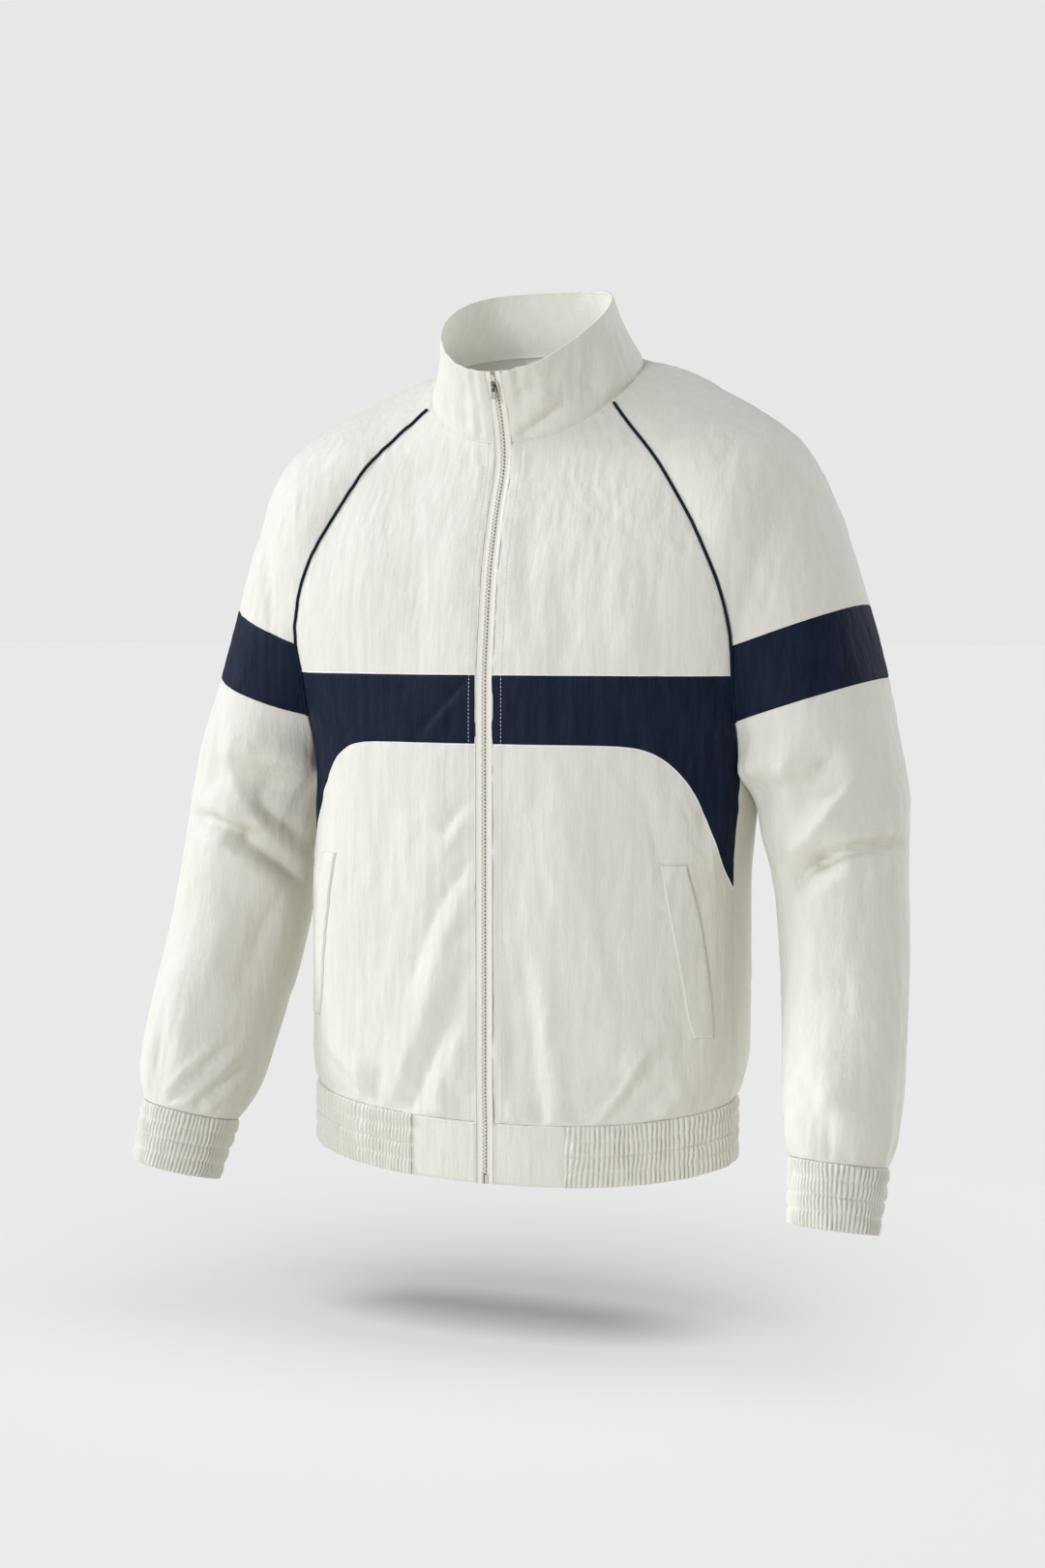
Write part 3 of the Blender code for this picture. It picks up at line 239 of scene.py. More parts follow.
# Creases, each a soft line through three places. rise is its height at the middle, below zero in
# a trough. soft is how far its top is rounded, and start and end are the shares of its height
# that are left at its two ends.
CREASES = columns(
    "x1 y1 drop1 x2 y2 drop2 x3 y3 drop3 width soft rise start end",
    # wearer's left sleeve head and armhole
    (262, -50, 80, 246, -72, 150, 224, -85, 232, 22, 10, -5.0, 0, 0.3),
    (240, -25, 77, 230, -67, 128, 209, -82, 218, 11, 4, -3.0, 0, 0.8),
    (256, -30, 100, 246, -66, 150, 228, -82, 225, 12, 6, 2.0, 0, 0.2),
    (224, -75, 158, 216, -79, 190, 208, -81, 222, 7, 2, -1.6, 0, 0.9),
    (236, -76, 176, 232, -80, 196, 222, -84, 226, 6, 2, -1.0, 0, 0.6),
    (238, -84, 303, 231, -85, 332, 219, -66, 353, 9, 3, -3.2, 0.5, 0.8),
    (252, -85, 312, 247, -88, 345, 240, -86, 375, 10, 4, 3.0, 0.2, 0.3),
    # wearer's left elbow
    (338, -18, 392, 318, -68, 392, 283, -84, 403, 8, 2, -6.7, 0.3, 1.0),
    (283, -84, 403, 268, -83, 412, 248, -76, 428, 8, 2, -6.7, 1.0, 0.1),
    (334, -40, 383, 314, -71, 385, 284, -84, 395, 9, 4, 4.9, 0.2, 0.6),
    (332, -50, 408, 305, -80, 413, 276, -87, 428, 13, 6, 4.3, 0.1, 0.4),
    (256, -84, 394, 283, -83, 370, 309, -62, 322, 8, 3, 6.1, 0.7, 0.0),
    (243, -86, 374, 268, -87, 350, 298, -74, 308, 13, 5, -5.5, 0.6, 0.0),
    (262, -88, 436, 270, -90, 470, 282, -96, 520, 14, 7, 2.3, 0.2, 0.0),
    (334, -36, 387, 305, -76, 391, 277, -85, 402, 5.0, 1.8, -3.4, 0.2, 1.0),
    (277, -85, 402, 262, -84, 413, 246, -76, 428, 6.0, 2.2, -3.4, 1.0, 0.3),
    (330, -46, 379, 304, -76, 383, 276, -86, 394, 4.2, 1.6, 2.6, 0.2, 1.0),
    (328, -50, 399, 303, -80, 402, 270, -87, 418, 4.5, 1.5, 2.8, 0.2, 0.8),
    # wearer's left forearm, down to the cuff
    (256, -96, 548, 280, -121, 580, 301, -134, 614, 8, 3, -2.2, 0.0, 0.3),
    (268, -108, 545, 290, -126, 574, 310, -136, 606, 9, 4, 2.0, 0.0, 0.2),
    (302, -131, 586, 304, -133, 610, 306, -132, 634, 6, 2, -2.0, 0.0, 1.0),
    (330, -108, 622, 312, -124, 600, 285, -128, 580, 10, 4, 1.8, 0.6, 0.0),
    (345, -72, 560, 347, -80, 595, 344, -90, 632, 8, 3, -2.2, 0.0, 0.9),
    (338, -20, 470, 346, -34, 530, 350, -52, 590, 14, 7, -1.6, 0.0, 0.0),
    (300, -104, 470, 308, -112, 520, 316, -122, 575, 13, 6, -1.3, 0.0, 0.1),
    (322, -86, 452, 330, -94, 510, 338, -104, 570, 12, 6, 1.2, 0.0, 0.1),
    # wearer's right sleeve head and armhole
    (-250, -55, 95, -240, -72, 160, -222, -84, 228, 22, 10, -4.0, 0, 0.3),
    (-262, -52, 130, -250, -74, 180, -236, -83, 226, 9, 4, 1.6, 0, 0.4),
    (-260, -84, 300, -263, -84, 345, -243, -76, 387, 11, 4, 4.2, 0.2, 0.7),
    (-236, -75, 357, -237, -74, 374, -215, -47, 399, 12, 4, -5.6, 0.7, 0.8),
    (-280, -76, 308, -284, -78, 336, -280, -80, 366, 13, 6, -1.8, 0.1, 0.2),
    # wearer's right elbow
    (-316, -64, 386, -285, -82, 388, -255, -80, 401, 7, 2, -5.2, 0.5, 1.0),
    (-255, -80, 401, -237, -70, 419, -217, -28, 446, 7, 2, -5.2, 1.0, 0.2),
    (-306, -74, 376, -277, -85, 380, -249, -80, 392, 8, 4, 3.6, 0.2, 0.6),
    (-300, -80, 402, -265, -87, 412, -237, -74, 435, 12, 5, 3.9, 0.2, 0.5),
    (-234, -66, 452, -243, -76, 492, -257, -96, 548, 13, 6, -2.6, 0.1, 0.0),
    (-262, -90, 440, -272, -96, 490, -284, -108, 548, 12, 6, 1.8, 0.1, 0.0),
    (-312, -66, 382, -284, -82, 385, -252, -80, 398, 4.4, 1.3, -2.8, 0.2, 1.0),
    (-252, -80, 398, -236, -70, 415, -220, -40, 438, 4.4, 1.3, -2.8, 1.0, 0.3),
    # wearer's right forearm, down to the cuff
    (-303, -136, 622, -282, -130, 600, -258, -108, 572, 3.2, 1.0, 3.0, 0.2, 0.3),
    (-299, -136, 630, -276, -127, 607, -252, -102, 580, 3.6, 1.2, -2.6, 0.7, 0.1),
    (-287, -134, 634, -268, -122, 614, -250, -98, 590, 3.2, 1.0, 2.2, 0.8, 0.1),
    (-276, -130, 634, -259, -113, 616, -246, -90, 596, 3.4, 1.2, -2.3, 1.0, 0.1),
    (-266, -122, 634, -251, -101, 620, -244, -80, 604, 3.4, 1.2, 1.8, 0.9, 0.0),
    (-316, -124, 540, -318, -128, 580, -316, -132, 622, 4.2, 1.6, -2.0, 0.1, 0.5),
    (-290, -122, 520, -294, -128, 560, -298, -134, 596, 5, 2, 1.7, 0.0, 0.2),
    (-306, -127, 568, -309, -130, 600, -311, -131, 634, 6, 2.5, -1.8, 0.0, 0.9),
    (-322, -110, 575, -326, -114, 605, -325, -116, 634, 7, 3, 1.6, 0.0, 0.8),
    (-336, -66, 550, -342, -80, 590, -340, -92, 634, 9, 4, -2.2, 0.0, 0.8),
    (-318, -84, 450, -326, -92, 505, -332, -104, 560, 12, 6, -1.3, 0.0, 0.0),
    (-296, -100, 455, -304, -108, 510, -310, -120, 560, 12, 6, 1.1, 0.0, 0.0),
    # collar beside the zip, wearer's right and then left
    (-14, -107, 6, -15, -98, 30, -15, -89, 57, 2.6, 0.9, 1.6, 0.7, 0.8),
    (-19.5, -106, 5, -20.5, -97, 30, -21, -88, 57, 2.6, 0.9, -1.5, 0.9, 0.6),
    (-26, -104, 6, -27, -95, 30, -29, -86, 55, 3.4, 1.2, 1.2, 0.6, 0.3),
    (-35, -101, 3, -36, -92, 28, -40, -82, 50, 5, 2, -1.0, 0.4, 0.2),
    (14, -107, 5, 14.5, -98, 30, 15, -90, 52, 2.8, 0.9, 2.2, 0.9, 0.3),
    (20, -106, 5, 19.5, -97, 30, 18, -89, 54, 2.6, 0.9, -1.9, 0.9, 0.8),
    (18, -90, 55, 36, -92, 42, 62, -80, 30, 5, 1.4, -3.0, 1.0, 0.1),
    (18, -94, 47, 34, -98, 33, 54, -93, 20, 6, 2.2, 2.6, 0.9, 0.1),
    (26, -104, 14, 42, -100, 12, 58, -90, 3, 5, 2, -1.5, 0.6, 0.2),
    # chest band
    (-16, -124, 258, -41, -123, 283, -67, -121, 309, 4.5, 1.2, -1.5, 0.8, 0.3),
    (-20, -124, 270, -40, -123, 291, -58, -122, 310, 6, 2, 1.2, 0.3, 0.2),
    (-27, -124, 279, -31, -124, 294, -36, -123, 310, 5, 2, -0.9, 0.2, 0.5),
    (198, -56, 320, 191, -64, 358, 184, -70, 404, 7, 2, 2.6, 0.5, 0.5),
    (189, -69, 318, 182, -75, 356, 175, -79, 398, 9, 4, -1.8, 0.2, 0.2),
    (60, -123, 262, 63, -124, 284, 60, -123, 310, 9, 4, -0.7, 0.3, 0.2),
    (112, -118, 260, 118, -117, 285, 121, -115, 312, 10, 4, -0.8, 0.4, 0.2),
    (-112, -118, 260, -116, -117, 284, -112, -117, 310, 10, 4, -0.8, 0.3, 0.3),
    # upper front
    (72, -109, 150, 72, -118, 200, 69, -122, 252, 16, 8, -1.3, 0.0, 0.8),
    (110, -98, 140, 120, -106, 195, 128, -112, 252, 15, 8, 1.1, 0.0, 0.6),
    (140, -98, 170, 150, -102, 210, 152, -105, 250, 9, 4, -0.9, 0.0, 0.6),
    (30, -100, 112, 36, -110, 160, 34, -120, 230, 12, 6, -0.8, 0.1, 0.2),
    (-60, -104, 132, -66, -115, 180, -62, -122, 250, 15, 8, -1.2, 0.0, 0.5),
    (-118, -98, 150, -124, -106, 200, -120, -114, 252, 14, 7, 1.0, 0.0, 0.4),
    (-30, -102, 118, -34, -112, 160, -30, -121, 220, 11, 6, 0.8, 0.1, 0.1),
    # lower front, wearer's right
    (-16, -124, 412, -52, -123, 468, -74, -120, 532, 9, 3, -2.4, 0.9, 0.0),
    (-14, -124, 428, -40, -124, 485, -60, -122, 548, 11, 5, 1.8, 0.6, 0.0),
    (-17, -124, 362, -33, -123, 379, -42, -123, 394, 6, 2, -1.7, 0.9, 0.0),
    (-16, -124, 373, -28, -124, 391, -34, -124, 406, 6, 2.5, 1.2, 0.6, 0.0),
    (-15, -124, 466, -24, -124, 474, -32, -124, 488, 5, 2, -1.2, 0.9, 0.0),
    (-20, -124, 510, -46, -122, 570, -75, -118, 629, 9, 3, -3.0, 0.5, 0.9),
    (-34, -123, 500, -62, -121, 556, -93, -116, 618, 12, 6, 2.2, 0.1, 0.3),
    (-17, -124, 545, -38, -124, 592, -57, -122, 628, 9, 4, 1.5, 0.2, 0.3),
    (-104, -114, 590, -107, -112, 610, -111, -110, 628, 8, 3, -2.2, 0.1, 1.0),
    (-122, -108, 575, -126, -106, 600, -128, -104, 626, 9, 4, 1.6, 0.0, 0.8),
    (-181, -76, 582, -146, -98, 603, -113, -108, 627, 5, 1.5, -1.8, 0.3, 0.7),
    (-172, -82, 574, -136, -103, 596, -100, -113, 622, 9, 4, 1.8, 0.1, 0.4),
    (-192, -58, 598, -170, -82, 614, -150, -96, 626, 6, 2, -1.8, 0.2, 0.8),
    (-90, -118, 350, -96, -118, 430, -92, -118, 520, 18, 9, -1.2, 0.1, 0.0),
    (-150, -98, 380, -154, -96, 450, -150, -98, 530, 16, 8, 1.2, 0.1, 0.0),
    # lower front, wearer's left
    (20, -124, 500, 26, -124, 553, 23, -124, 604, 9, 4, -1.7, 0.0, 0.4),
    (30, -124, 466, 41, -124, 546, 51, -121, 629, 11, 4, -2.6, 0.0, 1.0),
    (52, -123, 480, 60, -123, 560, 67, -119, 629, 14, 7, 2.0, 0.0, 0.9),
    (64, -121, 470, 76, -121, 556, 80, -118, 629, 10, 5, -1.3, 0.0, 0.8),
    (144, -100, 552, 125, -107, 585, 95, -112, 628, 6, 1.8, 3.6, 0.1, 1.0),
    (129, -106, 578, 107, -112, 603, 83, -116, 628, 8, 2.5, -3.2, 0.0, 1.0),
    (152, -96, 564, 133, -104, 591, 110, -110, 624, 8, 3, -2.0, 0.0, 0.8),
    (173, -82, 594, 157, -92, 609, 140, -99, 624, 6, 2, 2.4, 0.1, 0.6),
    (162, -89, 588, 143, -98, 606, 124, -105, 624, 8, 3, -1.8, 0.0, 0.6),
    (197, -54, 556, 188, -66, 598, 178, -75, 622, 6, 2, -2.4, 0.0, 0.8),
    (133, -105, 340, 143, -100, 391, 153, -96, 432, 9, 3, -2.0, 0.0, 0.7),
    (95, -116, 360, 104, -114, 430, 106, -113, 500, 16, 8, -1.2, 0.1, 0.0),
    (70, -121, 330, 74, -121, 400, 84, -119, 470, 15, 8, 1.1, 0.1, 0.0),
    (30, -124, 350, 32, -124, 410, 28, -124, 480, 12, 6, -0.9, 0.1, 0.0),
    # collar
    (14, -86, 60, 32, -85, 46, 52, -78, 33, 4.5, 1.5, -2.2, 0.9, 0.1),
    (16, -92, 48, 34, -88, 37, 52, -81, 23, 6, 3, 1.6, 0.4, 0.2),
    (12, -99, 21, 20, -98, 16, 29, -97, 12, 3.5, 1.2, 1.4, 0.6, 0.1),
    (31, -92, 27, 38, -90, 22, 45, -87, 18, 4.5, 2, 1.2, 0.2, 0.2),
    (81, -38, -18, 82, -45, 0, 80, -54, 24, 7, 3, 1.6, 0.1, 0.4),
    (60, -76, 6, 66, -66, 10, 72, -58, 20, 7, 3, -1.2, 0.2, 0.4),
    (-34, -94, 14, -38, -90, 34, -34, -86, 50, 7, 3, -0.8, 0.2, 0.3),
    (-60, -70, -8, -62, -72, 10, -60, -74, 32, 8, 4, 1.0, 0.1, 0.3),
    (9, -103, 8, 9, -99, 20, 9, -95, 34, 5, 2, 2.2, 0.8, 0.1),
    # back
    (-58, 80, 90, -66, 89, 200, -92, 82, 360, 20, 10, -2.2, 0.0, 0.0),
    (46, 79, 110, 60, 88, 230, 84, 82, 380, 20, 10, -2.0, 0.0, 0.0),
    (0, 86, 160, -6, 88, 300, 4, 76, 430, 22, 12, 1.4, 0.0, 0.0),
    (-192, 58, 232, -150, 82, 290, -92, 84, 330, 10, 4, -3.2, 0.7, 0.0),
    (-190, 56, 262, -146, 80, 316, -96, 80, 372, 12, 5, 2.4, 0.6, 0.0),
    (188, 60, 220, 150, 82, 284, 104, 84, 346, 10, 4, -3.4, 0.7, 0.0),
    (192, 54, 258, 152, 79, 322, 112, 79, 372, 12, 5, 2.6, 0.6, 0.0),
    (60, 66, 598, 94, 68, 546, 134, 62, 486, 10, 4, 3.6, 0.9, 0.0),
    (44, 66, 600, 76, 69, 556, 112, 67, 500, 9, 3, -3.0, 1.0, 0.0),
    (-104, 62, 600, -88, 68, 548, -76, 71, 480, 10, 4, 3.2, 0.9, 0.0),
    (-86, 64, 600, -70, 69, 556, -58, 72, 500, 9, 3, -2.8, 1.0, 0.0),
    (-20, 66, 600, -12, 70, 540, -18, 72, 470, 12, 5, -2.2, 0.9, 0.0),
    (150, 52, 600, 164, 52, 560, 176, 40, 510, 8, 3, -2.6, 0.9, 0.0),
    (-158, 50, 600, -168, 48, 556, -172, 42, 500, 8, 3, -2.6, 0.9, 0.0),
    (-132, 56, 470, -140, 60, 400, -150, 62, 350, 16, 8, -1.8, 0.0, 0.0),
    (136, 58, 460, 142, 62, 400, 150, 62, 352, 16, 8, -1.6, 0.0, 0.0),
    # sleeve backs
    (322, 6, 440, 290, 36, 424, 238, 16, 404, 14, 6, 3.8, 0.2, 0.2),
    (326, 0, 420, 292, 38, 404, 236, 20, 386, 9, 3, -3.4, 0.2, 0.6),
    (324, -4, 462, 294, 30, 448, 244, 14, 432, 11, 4, -2.6, 0.1, 0.2),
    (-322, 6, 434, -290, 36, 420, -238, 16, 402, 14, 6, 3.8, 0.2, 0.2),
    (-326, 2, 414, -292, 38, 398, -236, 20, 384, 9, 3, -3.4, 0.2, 0.6),
    (-320, -2, 456, -292, 31, 446, -246, 14, 430, 11, 4, -2.4, 0.1, 0.2),
    (246, 62, 200, 240, 56, 270, 224, 36, 330, 16, 7, -3.0, 0.0, 0.5),
    (-248, 62, 196, -242, 56, 268, -224, 36, 332, 16, 7, -3.0, 0.0, 0.5),
    (300, 0, 560, 304, -24, 600, 306, -44, 636, 9, 4, -2.4, 0.0, 0.9),
    (-300, 0, 556, -304, -24, 598, -306, -44, 636, 9, 4, -2.4, 0.0, 0.9),
    (280, -6, 540, 276, -34, 590, 276, -56, 636, 9, 4, 2.0, 0.0, 0.8),
    (-280, -6, 540, -276, -34, 592, -274, -56, 636, 9, 4, 2.0, 0.0, 0.8),
)
CREASE_STEPS = 8
CREASE_SOFT = 0.6
CREASE_GAIN = 1.6
CREASE_REACH = 3.0
CREASE_FADE = 0.5
END_SHARE = 0.3


# ---------------------------------------------------------------- curves

def cubic(knots, rows, slope, at):
    """Values at `at` on cubics through rows that lie at rising knots, with a slope at each row."""
    step = np.diff(knots)
    k = np.clip(np.searchsorted(knots, at) - 1, 0, len(step) - 1)
    h = step[k][..., None]
    u = (at - np.asarray(knots)[k])[..., None] / h
    start = (1 + 2 * u) * (1 - u) ** 2 * rows[k] + u * (1 - u) ** 2 * h * slope[k]
    end = u * u * (3 - 2 * u) * rows[k + 1] + u * u * (u - 1) * h * slope[k + 1]
    return start + end


def through(knots, rows, at):
    """Values at `at` on a smooth line through rows, which never swings past them.

    The slope at a row is the harmonic mean of the rises beside it.
    """
    rise = np.diff(rows, axis=0) / np.diff(knots)[:, None]
    before, after = rise[:-1], rise[1:]
    same_way = before * after > 0
    total = np.where(same_way, before + after, 1.0)
    inner = np.where(same_way, 2 * before * after / total, 0.0)
    return cubic(knots, rows, np.vstack([rise[:1], inner, rise[-1:]]), np.asarray(at, float))


def smooth(knots, rows, at):
    """Values at `at` on the natural cubic spline through rows, whose curvature never jumps."""
    flat = rows.reshape(len(rows), -1)
    step = np.diff(knots)
    rise = np.diff(flat, axis=0) / step[:, None]
    last = len(step)
    grid = np.zeros((last + 1, last + 1))
    right = np.zeros_like(flat)
    inner = np.arange(1, last)
    grid[inner, inner - 1] = 1 / step[:-1]
    grid[inner, inner] = 2 / step[:-1] + 2 / step[1:]
    grid[inner, inner + 1] = 1 / step[1:]
    right[inner] = 3 * (rise[:-1] / step[:-1, None] + rise[1:] / step[1:, None])
    grid[0, :2], grid[last, last - 1:] = (2, 1), (1, 2)
    right[0], right[last] = 3 * rise[0], 3 * rise[-1]
    made = cubic(knots, flat, np.linalg.solve(grid, right), at)
    return made.reshape(len(at), *rows.shape[1:])


def lengths(line):
    """The distance along a line of points to each of them."""
    step = np.linalg.norm(np.diff(line, axis=0), axis=1)
    return np.concatenate([[0], np.cumsum(step)])


def between(at, knots, line):
    """Points at `at` on the straight stretches of a line whose points lie at rising knots."""
    return np.stack([np.interp(at, knots, line[:, k]) for k in range(3)], axis=1)


def ease(t):
    t = np.clip(t, 0, 1)
    return t * t * (3 - 2 * t)


def unit(way):
    return way / np.maximum(np.linalg.norm(way, axis=-1, keepdims=True), 1e-9)


def flipped(points, side):
    """Points or directions made for the wearer's left, put on a side of the body."""
    return np.asarray(points) * np.array([side, 1, 1])


def look_up(table, names, at):
    """Columns of a table at the given drops."""
    rows = np.stack([table[name] for name in names.split()], axis=1)
    return np.moveaxis(through(table["drop"], rows, at), -1, 0)


def rounded(turn, roundness=ROUNDNESS):
    """Sine and cosine of a turn in degrees, drawn out towards a rounded rectangle."""
    angle = np.radians(turn)
    sine, cosine = np.sin(angle), np.cos(angle)
    power = 2.0 / roundness
    return (
        np.sign(sine) * np.abs(sine) ** power,
        np.sign(cosine) * np.abs(cosine) ** power,
    )


def collar_edge(turn, edge, rise):
    """A closed line round the neck. turn is in degrees from the front, towards +X.

    x = half_width sin^squareness, y = mid_y - reach cos, z = side + lean cos + arch cos^2.
    """
    angle = np.radians(turn)
    sine, cosine = np.sin(angle), np.cos(angle)
    x = edge["half_width"] * np.sign(sine) * np.abs(sine) ** rise["squareness"]
    reach = np.where(cosine > 0, edge["front"], edge["back"])
    y = edge["mid_y"] - reach * cosine
    lean = (rise["front_z"] - rise["back_z"]) / 2
    arch = (rise["front_z"] + rise["back_z"]) / 2 - rise["side_z"]
    z = rise["side_z"] + lean * cosine + arch * cosine**2
    return np.stack([x, y, z], axis=-1)


def neck_seam(turn):
    return collar_edge(turn, NECK_EDGE, NECK_RISE)


def collar_rim(turn):
    return collar_edge(turn, RIM_EDGE, RIM_RISE)


def edge_turn(x, edge, rise):
    """The turn at which a collar edge is x from the middle, at the front."""
    return math.degrees(math.asin((x / edge["half_width"]) ** (1 / rise["squareness"])))


def head_line(which, turn):
    """The raglan rows of one seam, with its start on the neck seam."""
    rows = np.stack([HEAD[which + "_x"], HEAD[which + "_y"], -HEAD[which + "_drop"]], axis=1)
    return np.vstack([neck_seam(turn)[None], rows])


FRONT_SEAM = head_line("front", NECK_FRONT_TURN)
BACK_SEAM = head_line("back", NECK_BACK_TURN)
FRONT_CUT = (FRONT, FRONT_SEAM)
BACK_CUT = (BACK, BACK_SEAM)


# ---------------------------------------------------------------- shape of the body and sleeves

def waist_drop(y):
    """The waist seam's drop: lowest at the middle of the front, and level round the back."""
    ahead = np.clip((WAIST_BACK_Y - y) / (WAIST_BACK_Y - WAIST_FRONT_Y), 0, 1)
    return WAIST_DROP_BACK + WAIST_DROP_MORE * ahead**WAIST_DROP_CURVE


def side_line(seam, drop):
    """Place of the raglan seam at a drop, and of the side seam below the underarm."""
    below = np.array([[seam[-1][0], seam[-1][1], -PAST_HEM_DROP]])
    line = np.vstack([seam, below])
    return np.moveaxis(through(-line[:, 2], line[:, :2], drop), -1, 0)


def body_point(cut, n, drop):
    """A point of the front or back: n is 0 at the middle and 1 at the seam.

    x = seam x sin(n turn) / sin(turn), and y runs from the middle's to the seam's as 1 - cos.
    """
    table, seam = cut
    middle_y, turn = look_up(table, "y turn", drop)
    seam_x, seam_y = side_line(seam, drop)
    end_sine, end_cosine = rounded(turn)
    sine, cosine = rounded(n * turn)
    x = seam_x * sine / end_sine
    y = middle_y + (seam_y - middle_y) * (1 - cosine) / (1 - end_cosine)
    return np.stack([x, y, -drop], axis=-1)


def n_of_x(x, drop):
    """How far a point of the front that is x from the middle lies towards the seam."""
    turn = look_up(FRONT, "turn", drop)[0]
    seam_x = side_line(FRONT_SEAM, drop)[0]
    sine = np.clip(x / seam_x * rounded(turn)[0], 0, 1)
    return np.degrees(np.arcsin(sine ** (ROUNDNESS / 2))) / turn


def on_front(x, drop):
    """Points of the front that are x from the middle."""
    return body_point(FRONT_CUT, n_of_x(x, drop), drop)


def from_opening(drop):
    """Even steps from the edge of the zip to the seam, as n in body_point."""
    first = n_of_x(OPENING_HALF, drop)
    return first + (1 - first) * np.linspace(0, 1, FRONT_COLUMNS + 1)


def tuck(points):
    """Draws the body in towards the waist seam, less at the flat front than at the sides.

    The depth grows as (1 - height above the seam / tuck height)^2.
    """
    x, y, z = np.moveaxis(points, -1, 0)
    behind = ease((y - TUCK_TURN_Y) / TUCK_TURN_DEPTH)
    height = TUCK_HEIGHT + (TUCK_HEIGHT_BACK - TUCK_HEIGHT) * behind
    near = (1 - np.clip((waist_drop(y) + z) / height, 0, 1)) ** 2
    depth = TUCK_FRONT + (TUCK_SIDE - TUCK_FRONT) * ease(np.abs(x) / TUCK_FLAT_HALF)
    depth += (TUCK_BACK - TUCK_SIDE) * behind
    away = np.stack([x / HIP_HALF_WIDTH, (y - HIP_MID_Y) / HIP_HALF_DEPTH, 0 * z], axis=-1)
    return points - unit(away) * (near * depth)[..., None]


def waist_line(cut, n):
    """The waist seam on the front or back, with n as in body_point."""
    level = body_point(cut, n, 0 * n + WAIST_DROP_BACK)
    return tuck(body_point(cut, n, waist_drop(level[..., 1])))


def waist_band_grid(cut, n):
    """A strip of the waistband's height, hung straight down from the waist seam."""
    down = np.array([0, 0, -WAISTBAND_HEIGHT])
    return waist_line(cut, n) + np.linspace(0, 1, 3)[:, None, None] * down


def band_foot():
    """The chest band's foot, as drops and places towards the seam."""
    drop = BAND_FOOT["drop"]
    n = n_of_x(BAND_FOOT["x"], drop)
    n[-1] = 1.0
    return drop, n


def side_drops():
    """Drops along the raglan and side seams where the chest band and the back share a point."""
    head = -FRONT_SEAM[CHEST_TOP_ROW:, 2]
    below = np.linspace(head[-1], BAND_TIP_DROP, 5)[1:]
    return np.concatenate([head, below])


def front_grid():
    """The front, wearer's left, from the neck seam to the waist seam, edge of the zip first.

    Above the band each row's drop runs from the middle's to the raglan seam's as s^2. The band
    and the lower front are ruled between the band's top, its foot and the waist seam.
    """
    rows = np.arange(CHEST_TOP_ROW + 1)
    v = (rows / CHEST_TOP_ROW)[:, None]
    s = np.linspace(0, 1, FRONT_COLUMNS + 1)
    neck_drop = -NECK_RISE["front_z"]
    middle = neck_drop + v * (BAND_TOP_DROP - neck_drop)
    seam = -FRONT_SEAM[rows, 2][:, None]
    drop = middle + (seam - middle) * s**2
    upper = body_point(FRONT_CUT, from_opening(drop), drop)
    start = edge_turn(OPENING_HALF, NECK_EDGE, NECK_RISE)
    neck = neck_seam(start + (NECK_FRONT_TURN - start) * s)
    upper = upper + (1 - v[..., None]) ** 3 * (neck - upper[0])

    top_drop = np.full_like(s, BAND_TOP_DROP)
    top_n = from_opening(top_drop)
    foot_drop, foot_n = band_foot()
    v = ((side_drops() - BAND_TOP_DROP) / (BAND_TIP_DROP - BAND_TOP_DROP))[:, None]
    drop = (1 - v) * top_drop + v * foot_drop
    band = body_point(FRONT_CUT, (1 - v) * top_n + v * foot_n, drop)

    v = np.array(LOWER_ROWS)[:, None]
    hem_n = from_opening(foot_drop)
    waist = -waist_line(FRONT_CUT, hem_n)[:, 2]
    n = (1 - v) * foot_n + v * hem_n
    drop = (1 - v) * foot_drop + v * waist
    lower = tuck(body_point(FRONT_CUT, n, drop))
    return np.vstack([upper, band[1:], lower[1:]])


def back_grid():
    """The whole back, from the neck seam to the waist seam, from the right side to the left."""
    s = np.linspace(-1, 1, BACK_COLUMNS + 1)
    away = np.abs(s)
    head = -BACK_SEAM[:, 2]
    share = np.arange(UNDERARM_ROW + 1) / UNDERARM_ROW
    neck_drop = -NECK_RISE["back_z"]
    middle = neck_drop + share * (head[-1] - neck_drop)
    side = side_drops()[UNDERARM_ROW - CHEST_TOP_ROW + 1:]
    waist = -waist_line(BACK_CUT, away)[:, 2]
    upper_drop = middle[:, None] + (head - middle)[:, None] * away**2
    side_drop = np.repeat(side[:, None], len(s), axis=1)
    lower_drop = BAND_TIP_DROP + np.array(LOWER_ROWS)[1:, None] * (waist - BAND_TIP_DROP)
    drop = np.vstack([upper_drop, side_drop, lower_drop])
    grid = body_point(BACK_CUT, np.broadcast_to(away, drop.shape), drop)
    fade = np.clip(1 - np.arange(len(drop)) / UNDERARM_ROW, 0, 1)[:, None, None] ** 3
    grid = grid + fade * (neck_seam(180 - (180 - NECK_BACK_TURN) * away) - grid[0])
    grid[..., 0] *= np.sign(s)
    return tuck(grid)


